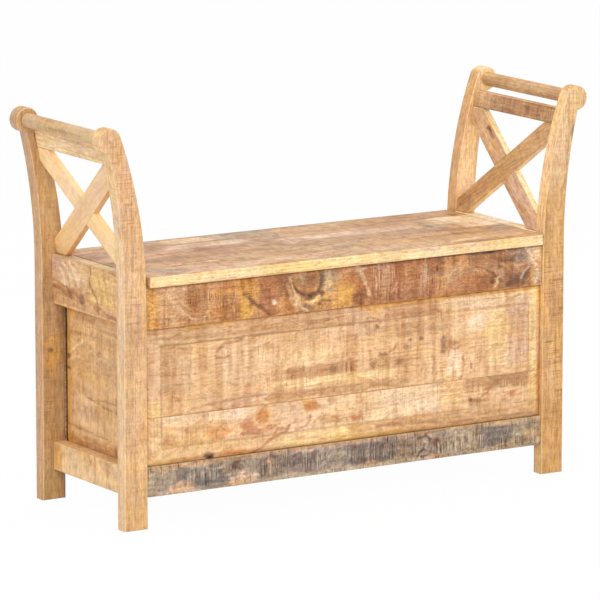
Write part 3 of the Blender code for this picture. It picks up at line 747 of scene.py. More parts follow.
def timber(name, fibre=0.5, rings=0.5, pores=0.5, burn=0.7, satin=0.48, curl=0.6, mottle=0.2,
           char=(196, 148, 112), saw=(290, 20, 26)):
    """Oiled mango wood: fibres, rings, pores, curly figure, saw marks and pale worn arrises with a painted
    highlight along them.

    The saw leaves fine lines square to the grain nearly everywhere, with burnt ones and
    scraped ones among them where the cut was rough.
    """
    wood = Finish(name)
    grain = wood.attribute("grain", AS_PLACE)
    tint = wood.attribute("tint", AS_COLOUR)
    sawn = wood.attribute("sawn", AS_NUMBER)
    scraped = wood.attribute("scraped", AS_NUMBER)
    worn_and_highlit = wood.attribute("worn_and_highlit", AS_NUMBER)
    fine = wood.speckle(grain, (62, 330, 330), 2.0, 0.6)
    grit = wood.speckle(grain, (210, 330, 380), 1.0, 0.6)
    medium = wood.speckle(grain, (8, 210, 240), 3.0, 0.55)
    ring = wood.speckle(grain, (1.6, 250, 14), 2.0, 0.5, 0.3)
    figure = wood.speckle(grain, (46, 120, 150), 4.0, 0.62, 1.6)
    pore = wood.speckle(grain, (75, 1900, 950), 1.0).above(0.62, 0.74)
    comb = wood.speckle(grain, saw, 3.0, 0.75)
    patchy = wood.speckle(grain, (40, 55, 80), 3.0, 0.6)
    burnt = comb.above(0.53, 0.63) * patchy.above(0.40, 0.60) * sawn
    scrapes = (1 - comb).above(0.50, 0.62) * patchy.above(0.38, 0.58) * scraped
    tone = 1 + fibre * 0.3 * (fine.above(0.36, 0.64) - 0.5)
    tone += fibre * 0.24 * (medium.above(0.36, 0.64) - 0.5)
    tone += mottle * (grit.above(0.36, 0.64) - 0.5) - pores * 0.3 * pore
    lined = (0.15 + 0.85 * sawn * patchy.above(0.36, 0.62)) * (comb.above(0.38, 0.62) - 0.5)
    colour = wood.times(tint, tone - 0.24 * lined)
    colour = wood.blend(ring.above(0.54, 0.68) * rings, colour, rgba((216, 182, 156)), "MULTIPLY")
    colour = wood.blend(figure.above(0.52, 0.66) * curl, colour, rgba((218, 184, 152)), "MULTIPLY")
    shining = (1 - figure).above(0.54, 0.68) * (0.6 * curl)
    colour = wood.blend(shining, colour, rgba((255, 232, 196)), "SOFT_LIGHT")
    colour = wood.blend(burnt * burn, colour, rgba(char), "MULTIPLY")
    colour = wood.blend(scrapes * 0.75, colour, rgba((246, 216, 180)))
    # Pale worn arrises, with a painted highlight along them as well
    colour = wood.blend(worn_and_highlit * 0.65, colour, rgba((250, 220, 170)))
    height = 0.5 * fine + 0.3 * medium - 0.5 * pore - 0.5 * burnt
    return wood.shade({
        "Base Color": colour,
        "Roughness": satin + 0.16 * (medium - 0.5) + 0.14 * burnt,
        "Specular IOR Level": 0.3,
        "Normal": wood.bump(height - 0.25 * lined, 0.35, 0.0007),
    })


def plain_timber(name, base):
    """The same wood on a board that keeps its CAD shape, with its grain along Y."""
    wood = Finish(name)
    place = wood.add("ShaderNodeTexCoord", output=OBJECT_PLACE)
    fine = wood.speckle(place, (600, 20, 260), 3.0, 0.6)
    medium = wood.speckle(place, (150, 5, 70), 3.0, 0.55)
    tone = 1 + 0.35 * (fine - 0.5) + 0.6 * (medium - 0.5)
    colour = wood.blend(medium.above(0.5, 0.7), rgba(base), rgba([0.82 * part for part in base]))
    return wood.shade({
        "Base Color": wood.times(colour, tone),
        "Roughness": 0.55 + 0.15 * (medium - 0.5),
        "Specular IOR Level": 0.3,
        "Normal": wood.bump(fine, 0.3, 0.0005),
    })


def zinc_plate(name):
    """Zinc-plated steel: dull, faintly mottled, with fine scratches."""
    steel = Finish(name)
    place = steel.add("ShaderNodeTexCoord", output=OBJECT_PLACE)
    mottle = steel.speckle(place, (260, 260, 260), 3.0, 0.6)
    scratch = steel.speckle(place, (300, 2400, 900), 2.0, 0.6)
    colour = steel.blend(mottle.above(0.4, 0.65), rgba((150, 146, 138)), rgba((192, 188, 178)))
    return steel.shade({
        "Base Color": steel.blend(scratch.above(0.6, 0.75) * 0.4, colour, rgba((110, 104, 96))),
        "Metallic": 0.9,
        "Roughness": 0.32 + 0.25 * (mottle - 0.4) + 0.1 * scratch,
        "Normal": steel.bump(scratch, 0.15, 0.0002),
    })


PLANED_WOOD = timber("planed_wood", fibre=0.28, rings=0.1, pores=0.2, burn=0.4, curl=0.15, mottle=0.05)
LEG_WOOD = timber("leg_wood", fibre=0.8, rings=0.3, pores=0.45, burn=0.65, curl=0.35, mottle=0.1,
                  char=(206, 150, 104), saw=(320, 12, 14))
SMOOTH_WOOD = timber("smooth_wood", fibre=0.5, rings=0.35, pores=0.4, mottle=0.14)
ROUGH_WOOD = timber("rough_wood", fibre=0.75, rings=0.35, pores=0.5, burn=0.8, satin=0.55, curl=0.9,
                    mottle=0.36)
WEATHERED_WOOD = timber("weathered_wood", fibre=0.7, rings=0.2, pores=0.7, burn=1.0, satin=0.6, mottle=0.3)
GREY_WOOD = timber("grey_wood", fibre=0.9, rings=0.4, pores=0.7, burn=0.8, satin=0.62, mottle=0.34,
                   char=(116, 102, 98), saw=(330, 46, 46))
BATTEN_WOOD = plain_timber("batten_wood", (208, 168, 122))
STEEL = zinc_plate("zinc_plated_steel")


# Putting a piece into the scene

SLOT_OF = {part["node"]: part["material_slot"] for part in frame["record"]["subparts"]}
BODIES = frame["record"]["behaviour"]["bodies"]
BODY_OF = {node: body for body, nodes in BODIES.items() for node in nodes}
ATTRIBUTE_KINDS = {"grain": ("FLOAT_VECTOR", "vector"), "tint": ("FLOAT_COLOR", "color")}


def into_scene(node, points, quads, attributes, finish):
    """A finished mesh, which rides its node's body and stands for the node."""
    a, b, c, d = (points[quads[:, i]] for i in range(4))
    if np.einsum("ij,ij->", np.cross(c - a, d - b), a + b + c + d) < 0:
        quads = quads[:, ::-1]
    mesh = bpy.data.meshes.new(node + "_wood")
    mesh.from_pydata(points, [], quads.tolist())
    mesh.shade_smooth()
    for key, values in attributes.items():
        kind, field = ATTRIBUTE_KINDS.get(key, ("FLOAT", "value"))
        layer = mesh.attributes.new(key, kind, "POINT")
        layer.data.foreach_set(field, np.ascontiguousarray(values, np.float32).ravel())
    mesh.materials.append(finish)
    piece = bpy.data.objects.new(node + "_wood", mesh)
    bpy.context.scene.collection.objects.link(piece)
    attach(piece, BODY_OF[node])
    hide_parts(node)


def worked(kind, points, outward, look):
    """How strongly the saw's or the scraper's marks show: the strongest of the placed ovals."""
    strongest = np.zeros(len(points))
    for i, (face, (*oval, strength)) in placed(look, kind):
        u, v = (points[:, k] for k in FACE_PLANE[face[1]])
        mask = blot(u, v, oval, look["seed"] + 5 * i)
        strongest = np.maximum(strongest, strength * mask * facing(outward, face))
    return strongest


def dress(node, shape, axes, look, finish=SMOOTH_WOOD):
    """Wears a board's surface, colours it and puts it into the scene.

    axes are those along its grain, across it and through it. Faces wave by a tenth of a
    millimetre, arrises are worn back unevenly with small nicks, and a sawn face is furrowed.
    """
    points, outward, rim, quads = shape
    seed = look["seed"]
    along, across, depth = (points[:, AXIS[axis]] for axis in axes)
    slope = np.radians(look.get("slope", 0))
    level, rise = np.cos(slope), np.sin(slope)
    along, across = along * level + across * rise, across * level - along * rise
    grain = in_tree(along, across, depth, look)
    tint = colour_of(points, outward, grain, look, across)
    wave = cloud(points * 16, seed + 91, 2)
    uneven = cloud(points * 60, seed + 90, 2)
    nick = climb(noise(points * 150, seed + 92), 0.35, 0.8)
    patchy = stretched((along, across, depth), (8, 20, 20), seed + 93)
    everywhere = look.get("sawn", 0.4) * climb(patchy, -0.5, 0.3)
    sawn = np.maximum(everywhere, worked("saw_marks", points, outward, look))
    sawn *= busy(outward, look)
    furrow = noise(np.column_stack([along * 300, across * 5, depth * 5]), seed + 94)
    cut = WAVE_DEPTH * (1 + wave) + rim * (WEAR_DEPTH * (1 + uneven) + NICK_DEPTH * nick)
    cut += FURROW_DEPTH * sawn * (1 + furrow)
    worn = points - outward * cut[:, None]
    attributes = {
        "grain": grain + np.array([seed * 0.731, 0.0, seed * 0.377]),
        "tint": np.column_stack([tint, np.ones(len(tint))]),
        "sawn": np.clip(sawn, 0, 1),
        "scraped": worked("scrapes", points, outward, look),
        # How worn each arris is, which also sets how strong the painted highlight along it is
        "worn_and_highlit": rim * np.clip(0.5 + 0.7 * uneven, 0, 1) * look.get("worn_and_highlit", 0.8),
    }
    into_scene(node, worn, quads, attributes, finish)


def even(arris):
    """The same arris at both ends of all three axes."""
    return [(arris, arris)] * 3


# Looks of the boards. A look's bands, marks, veins, saw marks and scrapes are listed under the
# face that they lie on, in millimetres of the bench's own axes, and each list's rows hold:
# bands: left, right, low, high, how soft the edges are across and up (else 10, 3), colour, strength
# marks: an oval's middle, its half width and half height, its tilt if any, colour, strength
# veins: the line's width, the places it runs through, colour, strength
# saw_marks and scrapes: an oval's middle, its half width and half height, strength
# knots: middle, width, height
# Besides its base colour and those of its faces, some of which carry painted shade and
# painted light, a look says how strong its streaks, blotches, chatter and drift are, how sawn
# it is, how worn and highlit its arrises are, where its pith ran, how far the pith and the
# rings sway, ripple and curl, which faces are calm, and its grain's slope in degrees.

# Lid

SEAM = (SEAM_ARRIS, SEAM_ARRIS)
SMALL = (0.0012, 0.0012)
ROUND = (RAIL_ARRIS, RAIL_ARRIS)
LID_ARRISES = {
    "front": [ROUND, (RAIL_ARRIS, SEAM_ARRIS), ROUND],
    "middle": [SMALL, SEAM, (0.0008, 0.0008)],
    "rear": [SMALL, (SEAM_ARRIS, 0.0012), (0.0008, 0.0008)],
}
LID_LOOKS = {
    "front": {
        "seed": 11, "calm": {"-y": 0.3}, "base": (194, 154, 113), "streaks": 0.6, "blotches": 0.9,
        "sawn": 0.35, "pith": (30, -60),
        # The dark -x and +x end faces are painted shade in the gaps at the lid's ends.
        "faces": {"-y": (242, 209, 152), "-x": (176, 130, 84), "+x": (150, 106, 68), "-z": (205, 165, 120)},
        "knots": ((22, -48, 9, 6),), "knot_face": "+z", "knot_strength": 0.5, "knot_light": 2.4,
        "bands": {"+z": (
            (-420, -200, -165, -95, 22, 7, "putty", 0.65), (-200, -60, -150, -105, 22, 7, "putty", 0.65),
            (40, 210, -165, -112, 22, 7, "biscuit", 0.75), (90, 270, -95, -36, 22, 7, "tan", 0.75),
        ), "-y": (
            (-420, 420, 432, 437, "cream", 0.65),
        )},
        "marks": {"+z": (
            (-362, -118, 38, 22, "pewter", 0.85), (-280, -78, 70, 4, "milk", 0.85),
            (35, -76, 30, 13, "taupe", 0.85), (380, -60, 26, 12, "stone", 0.75),
            (310, -112, 45, 26, 30, "tan", 0.75), (258, -135, 34, 12, 20, "sand", 0.85),
            (45, -40, 22, 8, "tan", 0.75), (370, -138, 40, 14, "apricot", 0.75),
            (-30, -120, 50, 14, "putty", 0.65),
        ), "-y": (
            (-200, 443, 160, 4, "cream", 0.55), (230, 446, 120, 4, "milk", 0.55),
        )},
        "veins": {"+z": (
            (2.6, 5, -38, 20, -26, 45, -22, 70, -28, "umber", 0.75),
            (2.4, 20, -68, 30, -84, 48, -92, "umber", 0.75), (1.5, -205, -60, -185, -44, "umber", 0.75),
            (1.5, -205, -44, -185, -60, "umber", 0.75),
        )},
        "saw_marks": {"+z": ((-120, -80, 120, 40, 0.7), (180, -90, 130, 50, 0.7))},
    },
    "middle": {
        "seed": 23, "base": (188, 149, 113), "streaks": 0.6, "blotches": 0.9, "sawn": 0.4,
        # The dark -x and +x end faces are painted shade in the gaps at the lid's ends.
        "pith": (-20, -50), "faces": {"-x": (176, 130, 84), "+x": (150, 106, 68), "-z": (205, 165, 120)},
        "bands": {"+z": (
            (-30, 260, 16, 56, 22, 7, "putty", 0.85), (-255, -90, 56, 94, 22, 7, "milk", 0.6),
            (0, 170, 60, 94, 22, 7, "tan", 0.85), (180, 290, 58, 94, 22, 7, "fawn", 0.75),
            (330, 420, -30, 88, 22, 7, "milk", 0.85), (-330, -220, 0, 50, 22, 7, "putty", 0.75),
        )},
        "marks": {"+z": (
            (-265, 84, 18, 8, "toffee", 0.75), (168, 55, 34, 5, "fawn", 0.75),
            (284, 20, 9, 16, "slate", 0.85), (320, -10, 28, 24, "hazel", 0.85),
            (45, 32, 26, 12, "milk", 0.6), (-20, 6, 18, 9, "milk", 0.45), (-211, 26, 7, 5, "umber", 0.85),
            (-55, 26, 6, 4, "walnut", 0.85), (-26, 30, 6, 4, "walnut", 0.85),
            (-150, 0, 60, 14, "tan", 0.65), (-380, 20, 30, 26, "sand", 0.65),
        )},
        "veins": {"+z": (
            (1.5, -205, 58, -185, 42, "umber", 0.75), (1.5, -205, 42, -185, 58, "umber", 0.75),
            (2.4, 10, -18, 35, -10, 62, -16, "umber", 0.75),
        )},
        "saw_marks": {"+z": ((60, 30, 160, 34, 0.8), (-250, 0, 120, 40, 0.6))},
    },
    "rear": {
        "seed": 35, "base": (180, 140, 108), "streaks": 0.6, "blotches": 0.9, "sawn": 0.5,
        "pith": (60, -40),
        # The dark -x and +x end faces are painted shade in the gaps at the lid's ends.
        "faces": {"-x": (176, 130, 84), "+x": (150, 106, 68), "+y": (214, 168, 120), "-z": (205, 165, 120)},
        "bands": {"+z": (
            (-420, -320, 95, 157, 22, 7, "biscuit", 0.75), (-255, -130, 105, 150, 22, 7, "sand", 0.75),
            (-110, 0, 95, 150, 22, 7, "pewter", 0.85), (10, 160, 95, 150, 22, 7, "biscuit", 0.65),
            (180, 420, 95, 157, 22, 7, "hazel", 0.85),
        )},
        "marks": {"+z": (
            (395, 106, 14, 8, "bark", 0.85), (-60, 118, 14, 10, "taupe", 0.75),
            (250, 102, 30, 9, "walnut", 0.75),
        )},
    },
}


def dress_lid():
    for name, arrises in LID_ARRISES.items():
        node = "lid_board_" + name
        radius = LID_CORNER_RADIUS if name == "front" else 0.0
        dress(node, board(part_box(node), arrises, BOARD_STEP, radius), "xyz", LID_LOOKS[name])


# Front

FRONT_LOOKS = {
    "front_top_rail": {
        "seed": 47, "base": (204, 148, 96), "streaks": 0.15, "blotches": 0.55, "chatter": 0.6, "sawn": 0.55,
        "pith": (0, -45), "sway": 20, "ripple": 4, "curl": 10,
        "faces": {"+z": (200, 150, 100), "-z": (190, 140, 95), "+y": (205, 165, 120)},
        "knots": ((-82, 412, 20, 13),), "knot_face": "-y", "knot_strength": 0.55, "knot_light": 2.6,
        "bands": {"-y": (
            (-425, -394, 350, 440, 13, 9, "amber", 0.8), (-392, -330, 350, 440, 13, 9, "tan", 0.8),
            (-330, -296, 355, 428, 13, 9, "toffee", 0.8), (-262, -228, 350, 400, 13, 9, "toffee", 0.8),
            (-228, -204, 350, 402, 13, 9, "gold", 0.9), (-230, -180, 400, 440, 13, 9, "amber", 0.8),
            (-190, -145, 350, 440, 13, 9, "cinnamon", 0.8), (-148, -120, 398, 440, 13, 9, "walnut", 0.8),
            (-56, -24, 388, 440, 13, 9, "pewter", 0.7), (-34, 12, 350, 402, 13, 9, "amber", 0.8),
            (12, 200, 350, 440, 13, 9, "cinnamon", 0.7), (168, 205, 404, 440, 13, 9, "umber", 0.7),
            (205, 310, 350, 392, 13, 9, "cinnamon", 0.7), (252, 345, 396, 440, 13, 9, "walnut", 0.7),
            (325, 398, 350, 402, 13, 9, "walnut", 0.7), (340, 398, 402, 440, 13, 9, "taupe", 0.8),
            # The bark and coffee bands along the rail's top edge, from 427.5 mm up, are painted shadow under
            # the lid's overhang, darker towards the right.
            (396, 425, 350, 440, 13, 9, "sand", 0.85), (-425, 60, 428.5, 440, 20, 1, "bark", 0.5),
            (20, 425, 427.5, 440, 20, 1, "coffee", 0.75),
        )},
        "marks": {"-y": (
            (-157, 380, 5, 5, "milk", 1), (-84, 413, 25, 17, "taupe", 0.8),
            (-112, 383, 17, 12, -45, "putty", 0.8), (-66, 378, 26, 8, "straw", 0.7),
            (-60, 361, 12, 5, "straw", 0.8), (-70, 385, 22, 7, 10, "coffee", 0.75),
            (25, 372, 13, 16, "bark", 0.75), (20, 424, 20, 8, "putty", 0.8),
            (76, 404, 20, 26, "biscuit", 0.6), (165, 400, 7, 30, "biscuit", 0.6),
            (225, 398, 24, 20, 45, "tan", 0.8), (300, 428, 16, 3, "soot", 0.8),
            (408, 398, 9, 8, "rust", 0.8), (360, 374, 22, 10, "coffee", 0.6),
            (120, 368, 60, 9, "umber", 0.6), (-350, 385, 14, 10, "toffee", 0.6),
            (330, 387, 7, 10, 30, "biscuit", 0.8), (343, 421, 9, 6, "tan", 0.7),
            (352, 366, 9, 7, "coffee", 0.75), (364, 398, 8, 12, -30, "biscuit", 0.7),
            (378, 366, 8, 9, "coffee", 0.7), (376, 418, 9, 8, "slate", 0.7),
            (386, 382, 6, 12, -20, "coffee", 0.75), (394, 408, 6, 14, -15, "sand", 0.8),
            (402, 378, 6, 8, "apricot", 0.8), (412, 364, 6, 7, "umber", 0.6),
            (310, 376, 8, 6, "coffee", 0.6), (-40, 404, 5, 7, "straw", 0.7), (-128, 392, 5, 9, "bark", 0.6),
        )},
        "veins": {"-y": (
            (4, -102, 361, -90, 366, -78, 362, "slate", 0.8),
            (4, -62, 368, -54, 376, -40, 372, "coffee", 0.75),
            (4, -386, 428, -368, 402, -345, 382, -322, 364, "putty", 0.75),
            (2.6, -372, 428, -350, 400, -330, 386, "biscuit", 0.6),
            (2.2, -300, 366, -290, 384, -296, 404, -290, 420, "honey", 0.6),
            (4, -216, 402, -200, 384, -182, 372, -165, 360, "bark", 0.85),
            (3, -190, 425, -176, 400, -160, 392, "umber", 0.6),
            (3, -130, 408, -122, 386, -104, 368, -92, 360, "tan", 0.8),
            (4.2, -112, 398, -92, 388, -70, 388, -58, 402, -57, 430, "coffee", 0.85),
            (3, -128, 430, -118, 410, -110, 398, "coffee", 0.8),
            (2.6, -124, 422, -118, 402, -108, 384, -112, 370, "sand", 0.85),
            (2.4, -108, 374, -96, 364, -84, 358, "sand", 0.8),
            (2.4, -92, 376, -76, 372, -62, 382, "cream", 0.8),
            (2.2, -50, 392, -46, 410, -40, 424, "straw", 0.8),
            (1.8, -104, 430, -98, 418, -100, 404, "biscuit", 0.7),
            (1.8, -240, 430, -236, 408, -242, 388, -238, 366, "honey", 0.6),
            (1.8, 60, 430, 64, 410, 60, 388, "biscuit", 0.7),
            (1.6, 118, 426, 124, 404, 120, 380, "biscuit", 0.6),
            (1.6, 188, 402, 194, 384, 190, 362, "biscuit", 0.6),
            (3, 24, 420, 36, 402, 44, 376, "sand", 0.75), (2.4, 92, 372, 102, 390, "putty", 0.8),
            (3, 204, 374, 216, 392, 246, 420, "putty", 0.7),
            (3, 246, 420, 258, 404, 284, 396, 310, 394, "tan", 0.7),
            (2.6, 298, 396, 314, 388, 322, 378, "coffee", 0.8),
            (2.2, 316, 362, 322, 370, 320, 376, 328, 382, "sand", 0.9),
            (1.8, 374, 372, 382, 386, 396, 398, "ash", 0.8),
            (1.8, 340, 430, 352, 420, 370, 424, 386, 416, "biscuit", 0.7),
            (2, 384, 428, 392, 418, 398, 404, 408, 394, "milk", 0.75),
            (1.8, 404, 388, 410, 376, 416, 366, "biscuit", 0.7),
            (1.8, 330, 404, 344, 398, 352, 388, 366, 384, "fawn", 0.7),
            (1.8, -420, 410, -405, 396, -398, 376, "apricot", 0.6),
            (3, 312, 418, 340, 408, 372, 402, "bark", 0.7),
        )},
        "saw_marks": {"-y": ((-300, 392, 110, 34, 0.9), (130, 395, 150, 36, 0.9), (350, 385, 60, 36, 0.8))},
        "scrapes": {"-y": ((75, 392, 30, 40, 0.7), (163, 398, 12, 34, 0.6), (-290, 400, 24, 30, 0.5))},
    },
    "front_panel_upper": {
        "seed": 59, "base": (230, 185, 137), "streaks": 0.22, "chatter": 0.5, "blotches": 0.24,
        "drift": 0.6, "sawn": 0.5, "pith": (40, -90), "sway": 22, "ripple": 3.4,
        "knots": ((204, 268, 9, 11), (224, 268, 8, 7)), "knot_face": "-y", "knot_strength": 0.6,
        "knot_light": 3.2,
        "bands": {"-y": (
            (-420, -250, 327, 362, 24, 1, "biscuit", 0.85), (-250, 0, 327, 362, 24, 1, "tan", 0.85),
            (-340, -250, 351, 362, 20, 2, "gold", 0.85), (0, 40, 327, 350, 14, 1.2, "biscuit", 0.75),
            (74, 200, 327, 350, 14, 1.2, "fawn", 0.85), (20, 420, 349, 366, 14, 2, "amber", 0.9),
            (200, 392, 327, 350, 14, 1.5, "sand", 0.75), (-440, -391, 295, 332, 1, 9, "putty", 0.85),
            (-440, -391, 226, 296, 1, 9, "putty", 0.85), (-440, -391, 180, 226, 1, 9, "straw", 0.85),
            # The gold, honey and amber strips on the right bevel, from 408 mm out, are the wood's ochre made
            # paler as painted light, to make up for the shade on that bevel, which faces away from the key
            # lamp.
            (391, 408, 180, 350, 1, 4, "cream", 0.75), (408, 440, 312, 370, 1, 9, "gold", 0.85),
            (408, 440, 215, 312, 1, 9, "honey", 0.85), (408, 440, 170, 216, 1, 9, "amber", 0.85),
            (-391, -328, 236, 327, 2, 3, "biscuit", 0.75), (-391, -300, 190, 236, 4, 4, "honey", 0.75),
            (-130, 20, 236, 258, "fawn", 0.8), (-160, 100, 222, 235, "cream", 0.75),
            (-160, 120, 203, 216, "tan", 0.8), (-300, -170, 202, 222, "putty", 0.75),
            (22, 82, 303, 327, 8, 4, "biscuit", 0.7), (82, 215, 292, 327, 12, 8, "tan", 0.75),
            (40, 142, 236, 256, "tan", 0.75), (300, 346, 215, 320, "cream", 0.65),
            # The thin toffee, walnut, fawn and hazel lines round the field, about 30 mm in from the panel's
            # edges, are painted shade along the step up to the field.
            (346, 391, 215, 327, 5, 3, "putty", 0.75), (-391.6, -389.2, 180, 327, 0.4, 0.5, "toffee", 0.8),
            (-391, 200, 324.3, 326.8, 9, 0.4, "walnut", 0.85),
            (180, 391, 324.3, 326.8, 9, 0.4, "fawn", 0.85),
            (389.2, 391.6, 180, 327, 0.4, 0.5, "hazel", 0.75),
            (-422, 200, 196, 199.4, 9, 0.6, "hazel", 0.6), (200, 422, 196, 199.4, 9, 0.6, "fawn", 0.5),
        )},
        "marks": {"-y": (
            (55, 342, 20, 10, "amber", 0.95), (-100, 310, 50, 14, "tan", 0.65),
            (-170, 302, 22, 9, "fawn", 0.65), (-100, 275, 60, 18, "cream", 0.65),
            (-160, 207, 16, 8, "fawn", 0.8), (60, 314, 6, 5, "bark", 0.85),
            (72, 262, 12, 6, "walnut", 0.85), (106, 245, 8, 8, "walnut", 0.85),
            (52, 246, 7, 7, "umber", 0.85), (155, 284, 5, 4, "umber", 0.95),
            (132, 284, 5, 3, "umber", 0.85), (124, 272, 8, 5, "toffee", 0.75),
            (204, 266, 8, 14, "slate", 0.8), (223, 268, 10, 5, "cinnamon", 0.85),
            (229, 230, 21, 28, "milk", 0.95), (214, 204, 9, 6, "straw", 0.85),
            (283, 235, 7, 14, "fawn", 0.85), (265, 222, 3, 5, "umber", 0.85),
            (-30, 246, 12, 9, "walnut", 0.75), (270, 300, 30, 18, "milk", 0.65),
            (-230, 275, 55, 40, "sand", 0.55),
        )},
        "veins": {"-y": (
            (2.1, 38, 331, 48, 333, 60, 330, 66, 322, "umber", 0.9),
            (1.8, 80, 331, 140, 332, 200, 331, "cinnamon", 0.7),
            (1.8, -420, 352, -390, 346, -350, 344, -300, 349, -262, 352, "hazel", 0.7),
            (1.8, -400, 340, -360, 338, -310, 342, -250, 346, "hazel", 0.65),
            (1.8, -250, 346, -180, 342, -120, 345, -60, 338, 0, 342, "toffee", 0.65),
            (1.8, -180, 336, -110, 333, -40, 338, "toffee", 0.6),
            (1.8, 338, 346, 344, 340, 352, 338, 374, 345, "hazel", 0.9),
            (2.5, -278, 296, -264, 291, -250, 296, "toffee", 0.9),
            (3, -276, 306, -262, 316, -246, 318, -226, 322, "toffee", 0.9),
            (1.8, -380, 320, -350, 316, -328, 316, "cinnamon", 0.8),
            (2.4, -330, 206, -270, 213, -200, 217, -120, 213, -40, 214, 40, 211, 100, 202, "hazel", 0.75),
            (2.3, -140, 204, -80, 206, 0, 203, 80, 206, 116, 198, "hazel", 0.8),
            (1.8, -60, 221, 20, 219, 90, 213, "tan", 0.7),
            (2.8, 152, 246, 160, 236, 156, 222, 152, 218, "tan", 0.7),
            (2.8, 178, 252, 184, 238, 184, 224, 180, 216, "toffee", 0.6),
            (2.5, 247, 240, 250, 225, 247, 206, "russet", 0.9),
            (2.1, 214, 262, 230, 256, 244, 262, "toffee", 0.8),
            (2.1, 104, 278, 96, 270, 84, 268, "toffee", 0.8),
        )},
        "saw_marks": {"-y": (
            (-358, 278, 34, 60, 1), (368, 268, 28, 66, 1), (-10, 246, 170, 22, 1), (-160, 300, 70, 26, 0.8),
            (110, 300, 90, 26, 0.7), (-120, 245, 70, 24, 0.9),
        )},
        "scrapes": {"-y": ((232, 288, 26, 30, 1), (266, 245, 22, 34, 0.8), (-30, 275, 120, 40, 0.45))},
    },
    "front_panel_lower": {
        "seed": 71, "base": (231, 186, 138), "streaks": 0.25, "chatter": 0.35, "blotches": 0.35,
        "drift": 0.6, "sawn": 0.4, "pith": (120, -60), "sway": 18, "ripple": 3.4, "curl": 11,
        "knots": ((-293, 117, 10, 5),), "knot_face": "-y", "knot_strength": 1, "knot_light": 0.5,
        "bands": {"-y": (
            (-391, -200, 178, 210, 6, 5, "milk", 0.7), (-390, -290, 140, 178, "honey", 0.65),
            (-150, 200, 140, 198, "milk", 0.45), (60, 190, 145, 196, "milk", 0.5),
            (-400, -300, 118, 136, "sand", 0.75), (-150, 10, 112, 138, "cream", 0.75),
            # The honey and straw bands below 125 mm on the bottom bevel, and the amber strip on the right
            # bevel from 408 mm out, are the wood's colour made paler as painted light, to make up for the
            # shade on bevels that face down and away from the key lamp.
            (0, 410, 124, 140, "honey", 0.65), (120, 440, 100, 125, 30, 3, "honey", 0.8),
            (-60, 140, 100, 121, 20, 2, "straw", 0.8), (-440, -330, 100, 119, 20, 2, "straw", 0.75),
            (296, 396, 174, 210, 8, 5, "hazel", 0.95), (-440, -391, 135, 210, 1, 8, "sand", 0.75),
            (392, 408, 120, 210, 2, 6, "straw", 0.75), (408, 440, 90, 210, 1, 6, "amber", 0.85),
            # The thin toffee and hazel lines at the field's left and bottom edges are painted shade along
            # the step up to the field.
            (255, 300, 182, 198, "fawn", 0.65), (-391.6, -389.2, 141, 210, 0.4, 0.5, "toffee", 0.8),
            (-391, 420, 140, 142.6, 9, 0.4, "hazel", 0.65),
        )},
        "marks": {"-y": (
            (-372, 155, 22, 14, "fawn", 0.7), (-276, 158, 24, 15, "rust", 0.8),
            (-318, 168, 34, 8, "tan", 0.8), (-210, 158, 20, 14, "russet", 0.85),
            (-180, 178, 20, 12, "rust", 0.95), (-75, 184, 22, 9, "rust", 1), (-88, 194, 18, 3, "gold", 0.9),
            (-38, 190, 9, 7, "hazel", 0.9), (-45, 155, 24, 10, "fawn", 0.75),
            (14, 153, 16, 7, "russet", 0.95), (-168, 155, 12, 5, "russet", 0.8),
            (-236, 119, 36, 6, "rust", 0.95), (-296, 119, 12, 6, "umber", 1), (-288, 115, 9, 5, "soot", 1),
            (-344, 117, 36, 4, "rust", 0.7), (278, 153, 20, 7, "hazel", 0.95),
            (262, 158, 5, 5, "bark", 0.9), (354, 160, 9, 8, "russet", 0.9),
            (220, 170, 34, 20, "cream", 0.7), (320, 145, 60, 8, "biscuit", 0.7),
        )},
        "veins": {"-y": (
            (3, -202, 112, -180, 122, -160, 134, -132, 145, -128, 154, "cinnamon", 0.9),
            (3, -160, 140, -150, 150, -132, 150, "russet", 0.8),
            (2.8, -112, 146, -94, 148, -84, 156, -82, 166, "russet", 0.9),
            (2.3, -66, 160, -45, 166, -26, 158, -18, 150, "fawn", 0.8),
            (2.8, -226, 150, -204, 147, -182, 146, "cinnamon", 0.8),
            (2.3, -318, 180, -302, 190, -300, 178, "fawn", 0.7),
            (2.5, -260, 172, -276, 164, -280, 150, -266, 144, "hazel", 0.7),
            (2.5, 30, 138, 90, 134, 150, 131, 240, 129, 330, 130, 400, 136, "fawn", 0.8),
            (2.8, 60, 130, 140, 128, 200, 124, 300, 120, 400, 122, "toffee", 0.85),
            (1.8, 100, 141, 180, 137, 260, 134, "tan", 0.7),
            (1.8, -60, 122, 20, 120, 90, 118, 135, 116, "amber", 0.9),
            (2.3, 134, 138, 136, 126, 136, 113, "hazel", 0.8),
            (2.5, 288, 160, 300, 168, 308, 178, "toffee", 0.8),
            (2.3, 310, 162, 326, 174, 342, 170, 350, 178, "milk", 0.8),
            (1.8, 205, 164, 226, 166, 244, 174, "amber", 0.8),
            (1.8, -20, 139, -60, 126, -120, 128, "honey", 0.7),
        )},
        "saw_marks": {"-y": ((-350, 160, 60, 26, 0.8), (188, 168, 12, 34, 1), (320, 178, 90, 16, 0.8))},
        "scrapes": {"-y": ((-330, 165, 50, 24, 0.5), (335, 172, 60, 14, 0.7))},
    },
    "front_bottom_rail": {
        "seed": 83, "base": (190, 168, 144), "streaks": 0.3, "blotches": 0.5, "chatter": 0.3, "sawn": 1,
        "pith": (60, -30), "faces": {"+z": (170, 145, 105), "-z": (150, 125, 95), "+y": (200, 160, 115)},
        "drift": 0.7,
        "bands": {"-y": (
            (-440, 440, 65, 102, 16, 6, "stone", 0.7), (-350, -260, 64, 102, 16, 6, "flint", 0.75),
            (-422, 422, 104, 113, 20, 1.5, "fawn", 0.6), (-255, -225, 84, 104, 12, 6, "coffee", 0.8),
